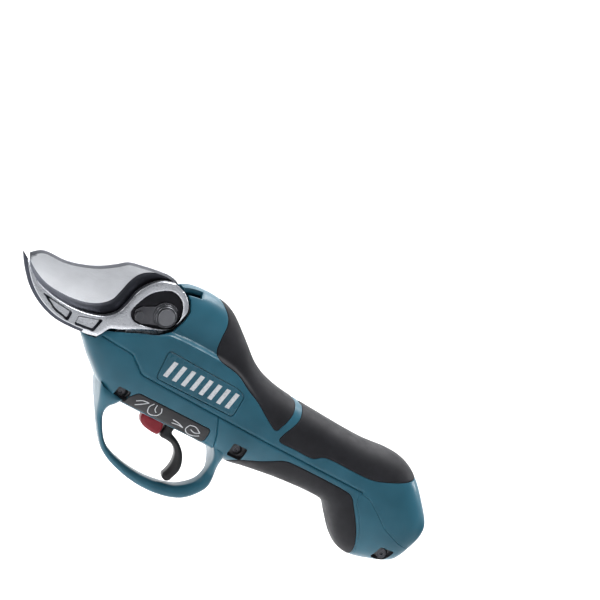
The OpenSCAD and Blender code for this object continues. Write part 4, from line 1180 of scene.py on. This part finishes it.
def counter_blade():
    """The fixed hook with its eye, its recess for the lock plate, two pockets and its foot on the frame."""
    inner, outer, front = (spline(line) for line in (HOOK_INNER, HOOK_OUTER, HOOK_FRONT))
    recess = spline(RECESS, 0.7, True)
    slots = [rounded(FRONT_SLOT, 1.6), rounded(REAR_SLOT, 1.6)]

    def relief(flat):
        depth = 0
        for line, fall, width in ((front, 1.5, 2.4), (inner, 0.5, 1.2), (outer, 0.6, 1.4)):
            depth = depth + fall * ramp(flat, line, width)
        depth += HOOK_TIP_FALL * smooth((HOOK_TIP_START - flat[:, 0]) / HOOK_TIP_LENGTH)
        gap = distance(flat, sides([recess]))
        floor = np.where(gap > CREASE_MARGIN, RECESS_DEPTH, 0)
        depth = np.where(inside(flat, recess), floor, depth + edge_round(gap, 0.6))
        for slot in slots:
            gap = distance(flat, sides([slot]))
            sunken = SLOT_DEPTH * smooth(gap / SLOT_RIM)
            depth += np.where(inside(flat, slot), sunken, edge_round(gap, 0.25))
        return depth

    floors = [shrunk(slot, SLOT_RIM, 0.8) for slot in (FRONT_SLOT, REAR_SLOT)]
    hook = plate(np.concatenate([inner, outer, front]), HOOK_NEAR, HOOK_FAR, 0.35,
                 [circle([0, 0], BOLT_HOLE)], [recess, *slots, *floors], [beside(front, -OUTER_EDGE)[5:-8]],
                 relief=relief, far_edge=0.3)
    foot = plate(straight(FOOT), HOOK_FAR - 2.4, HOOK_FAR, 0.3)
    obj = make("hook", joined(hook, foot), forged_steel(), 30)

    # Painted shade: the recess's floor and walls are coloured near black.
    def in_recess_painted_shade(p):
        return inside(p[:, [0, 2]], recess) & (p[:, 1] > HOOK_NEAR + 0.5)

    # Painted shade: a dark strip along the hook's outer edge towards the tip.
    def outer_edge_painted_shade(p):
        near_edge = distance(p[:, [0, 2]], sides([front], False)) < OUTER_EDGE
        return near_edge & (p[:, 0] < -40) & (p[:, 1] > HOOK_NEAR + 0.12)

    # Painted shade: the pocket walls round each floor are coloured dark.
    def slot_rim_painted_shade(p):
        flat = p[:, [0, 2]]
        rim = np.zeros(len(p), bool)
        for slot, floor in zip(slots, floors):
            rim |= inside(flat, slot) & ~inside(flat, floor)
        return rim & (p[:, 1] > HOOK_NEAR + 0.1) & (p[:, 1] < HOOK_FAR - 1)

    return paint(obj, (recess_painted_shade(), in_recess_painted_shade), (steel_painted_shade(), outer_edge_painted_shade),
                 (steel_painted_shade(), slot_rim_painted_shade))


def pivot_nut():
    """Flanged nut with chamfers and a groove round the bolt's end; rings are [radius, y]."""
    back, flange, front = PLATE_NEAR, PLATE_NEAR - 1.2, PLATE_NEAR - 2.8
    rings = [[BOLT_HOLE, back], [7.1, back], [7.1, flange + 0.3], [6.8, flange], [6.35, flange],
             [6.2, flange - 0.2], [6.2, front + 0.3], [5.9, front], [5.55, front], [5.4, front + 0.5],
             [BOLT_HOLE, front + 0.5]]
    return make("nut", turned(rings, [0, 0]), nut_steel(), 25)


def cutting_blade():
    """The moving blade: a polished flat, a hollow-ground band behind the grind line and a bevelled back."""
    spine, eye, edge = (spline(line) for line in (BLADE_SPINE, BLADE_EYE, BLADE_EDGE))
    grind = spline(GRIND_LINE)
    ground = np.concatenate([grind, [[-2, 30], [30, 10], [20, -30], [-60, -40], [-100, -20]]])

    def relief(flat):
        gap = distance(flat, sides([grind], False))
        fall = HOLLOW_DEPTH * smooth(gap / HOLLOW_WIDTH) + GRIND_DEPTH * smooth(gap / GRIND_WIDTH)
        hollow = np.where(inside(flat, ground), fall, 0)
        swell = 0.9 * ((flat[:, 0] + 48) / 42) ** 2 + 0.25 * ((flat[:, 1] + 6) / 14) ** 2
        return np.minimum(hollow + 0.9 * ramp(flat, spine, SPINE_EDGE) + swell, BLADE_FAR - BLADE_NEAR - 1)

    # Painted reflection: the hollow-ground band's colour darkens towards the pivot.
    def on_ground_painted_reflection(p):
        return inside(p[:, [0, 2]], ground)

    # Painted reflection: the bevelled back is coloured darker than the polished flat.
    def on_back_painted_reflection(p):
        return distance(p[:, [0, 2]], sides([spine], False)) < SPINE_EDGE

    shape = plate(np.concatenate([spine, eye, edge]), BLADE_NEAR, BLADE_FAR, 0.2, [circle([0, 0], 6.5)],
                  lines=[grind[3:-3], beside(spine, -SPINE_EDGE)[6:-3]], relief=relief, far_edge=0.3)
    obj = make("blade", shape, blade_steel(), 24)
    return paint(obj, (hollow_band_painted_reflection(), on_ground_painted_reflection), (bevel_painted_reflection(), on_back_painted_reflection))


attach(counter_blade(), "tool", "forged_steel", "counter_blade")
attach(pivot_nut(), "tool", "dark_steel", "pivot_nut")
attach(cutting_blade(), "blade", "blade_steel", "cutting_blade")

# ---------------------------------------------------------------- controls

TRIGGER_PIVOT, LOCK_PIVOT = [39.3, -50], [31.3, -54]
TRIGGER_FRONT = [[36.3, -60], [36.6, -66.5], [41.8, -67.2], [46.3, -68.3], [49.8, -72], [51.2, -77.5],
                 [50.8, -82], [49.7, -85.5]]
TRIGGER_BACK = [[56, -86.5], [57.8, -81], [57.2, -75.5], [54, -69.5], [48.8, -65], [42.8, -62.2], [42.4, -60]]
TRIGGER_BALL, BALL_R = [52.8, -86.2], 3.3
LOCK_FRONT = [[34.4, -57.5], [35.4, -61], [35.3, -65], [33.8, -66.8], [27.8, -66.5], [22.8, -65], [20.4, -62],
              [20.4, -58.5], [22.8, -56.9]]
CONTROL_HALF = 4.5
PIN_HOLE = 1.55
ROUND_BANDS = (0.12, 0.35, 0.7, 1.15, 1.7, 2.3)


def arc(middle, radius, start, end, count=14):
    """Points of a circle's arc between two angles in degrees."""
    a = np.radians(np.linspace(start, end, count))
    return np.stack([middle[0] + radius * np.cos(a), middle[1] + radius * np.sin(a)], axis=1)


def control(outline, pivot, edge):
    """Mesh of a lever with well-rounded edges and a hole for its pin."""
    return plate(outline, -CONTROL_HALF, CONTROL_HALF, edge, [circle(pivot, PIN_HOLE)], far_edge=edge,
                 bands=ROUND_BANDS, spacing=1.0)


def trigger():
    """The black finger lever, hooked forwards and ending in a ball."""
    outline = np.concatenate([
        spline(TRIGGER_FRONT)[:-1], arc(TRIGGER_BALL, BALL_R, 168, 352)[:-1], spline(TRIGGER_BACK),
        straight([[42.6, -54], [52.6, -50], [52.6, -46.2], [42.3, -46.2]], 0.8, False),
        arc(TRIGGER_PIVOT, 4.4, 60, 200), [[36, -56]]])
    return control(outline, TRIGGER_PIVOT, 2.4)


def lock_lever():
    """The red catch in front of the trigger."""
    outline = np.concatenate([arc(LOCK_PIVOT, 2.8, 215, -35), spline(LOCK_FRONT), [[28.4, -56.6]]])
    return control(outline, LOCK_PIVOT, 2.0)


def spring(x, low, high, radius, wire, turns):
    """A coil of round wire along Z, between two heights."""
    per_turn, ring = 24, 8
    count = turns * per_turn
    i = np.arange(count + 1)[:, None]
    around, across = i * 2 * math.pi / per_turn, np.arange(ring)[None, :] * 2 * math.pi / ring
    reach = radius + wire * np.cos(across)
    height = low + wire + (high - low - 2 * wire) * i / count + wire * np.sin(across)
    verts = np.stack([x + reach * np.cos(around), reach * np.sin(around), height], axis=2).reshape(-1, 3)
    faces = [(k * ring + j, k * ring + (j + 1) % ring, (k + 1) * ring + (j + 1) % ring, (k + 1) * ring + j)
             for k in range(count) for j in range(ring)]
    ends = [tuple(range(ring)), tuple(count * ring + j for j in range(ring))]
    return verts, faces + ends


# each coil hangs from its seat at the top
TRIGGER_SPRING = dict(x=46.3, low=-46.2, high=-38, radius=2.2, wire=0.3, turns=5)
LOCK_SPRING = dict(x=23.3, low=-56.8, high=-47.5, radius=1.8, wire=0.25, turns=6)
for name, size, joint, kept in (("trigger_coil", TRIGGER_SPRING, "trigger_pull", 0.75),
                                ("lock_coil", LOCK_SPRING, "lock_lever_press", 0.82)):
    coil = make(name, spring(**size), gear_steel(), 60)
    attach(coil, "tool", "gear_steel", name.replace("coil", "spring"))
    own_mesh(coil)

attach(make("trigger_blade", trigger(), black_plastic()), "trigger", "black_plastic", "trigger")
attach(make("lock_catch", lock_lever(), red_plastic()), "lock_lever", "red_plastic", "lock_lever")

# ---------------------------------------------------------------- CAD pieces that stay as they are

for part in frame["record"]["subparts"]:
    mesh = frame["nodes"][part["node"]].data
    mesh.materials.clear()
    mesh.materials.append(SPECIAL.get(part["node"], FINISHES[part["material_slot"]])())

# ---------------------------------------------------------------- floor, light and camera


def backdrop():
    """A pale floor that sweeps up into a wall behind the tool."""
    depth, near, back, bend, height, reach = -0.4, -30, 1.2, 1.0, 5, 30
    turn = [(back + bend * math.sin(a), depth + bend * (1 - math.cos(a)))
            for a in np.linspace(0, math.pi / 2, 25)]
    line = [(near, depth), (near / 10, depth), (0, depth), *turn, (back + bend, height)]
    verts = [(x, y, z) for y, z in line for x in (-reach, reach)]
    faces = [(2 * i, 2 * i + 1, 2 * i + 3, 2 * i + 2) for i in range(len(line) - 1)]
    mesh = bpy.data.meshes.new("backdrop")
    mesh.from_pydata(verts, [], faces)
    mesh.shade_smooth()
    finish = Finish("backdrop", Roughness=0.9)
    finish.set("Specular IOR Level", 0.1)
    finish.set("Base Color", finish.blend(finish.noise(3), (0.88, 0.88, 0.88), (0.9, 0.9, 0.9)))
    mesh.materials.append(finish.bump((finish.noise(40), 0.0002)))
    obj = added("backdrop", mesh)


def lamp(name, energy, size, place, target=(0.05, 0, -0.03)):
    """A square area lamp, placed and aimed in metres."""
    light = bpy.data.lights.new(name, "AREA")
    light.energy, light.size = energy, size
    obj = added(name, light)
    obj.location = place
    obj.rotation_euler = (Vector(target) - Vector(place)).to_track_quat("-Z", "Y").to_euler()


def world():
    """A studio with a broad bright patch above on the right, darker to the left and below."""
    made = bpy.data.worlds.new("studio")
    made.use_nodes = True
    nodes, links = made.node_tree.nodes, made.node_tree.links
    place = nodes.new("ShaderNodeTexCoord")
    tilt = nodes.new("ShaderNodeVectorMath")
    tilt.operation = "DOT_PRODUCT"
    tilt.inputs[1].default_value = (0.45, -0.15, 0.88)
    height = nodes.new("ShaderNodeMapRange")
    height.interpolation_type = "SMOOTHSTEP"
    links.new(place.outputs["Generated"], tilt.inputs[0])
    links.new(tilt.outputs["Value"], height.inputs["Value"])
    for key, value in (("From Min", -0.2), ("From Max", 0.6), ("To Min", 0.05), ("To Max", 0.62)):
        height.inputs[key].default_value = value
    links.new(height.outputs["Result"], nodes["Background"].inputs["Strength"])
    nodes["Background"].inputs["Color"].default_value = (0.93, 0.96, 1, 1)
    bpy.context.scene.world = made


def camera(yaw=18, elevation=4, lean=29.4, reach=1.5, target=(0.0671, -0.0162, 0.0459), focal=151.5):
    """Looks at the -Y side from the blade's end and a little above, leaned so the tool points up left."""
    a, e = math.radians(yaw), math.radians(elevation)
    back = Vector((-math.sin(a) * math.cos(e), -math.cos(a) * math.cos(e), math.sin(e)))
    data = bpy.data.cameras.new("camera")
    data.lens = focal
    obj = added("camera", data)
    turn = back.to_track_quat("Z", "Y").to_matrix().to_4x4() @ Matrix.Rotation(math.radians(lean), 4, "Z")
    obj.matrix_world = Matrix.Translation(Vector(target) + back * reach) @ turn
    bpy.context.scene.view_settings.view_transform = "Standard"
    bpy.context.scene.camera = obj


backdrop()
world()
lamp("left", 6, 0.5, (-1.6, -0.5, 0.6))
lamp("top", 15, 0.6, (0.15, -0.15, 1.6))
lamp("right", 8, 0.4, (1.4, 0.3, 0.9))
lamp("front", 1, 0.8, (0.6, -2.0, 0.5))
lamp("wall", 190, 2.5, (0.3, 0.9, 3.2), (0.2, 2.2, -0.2))
camera()
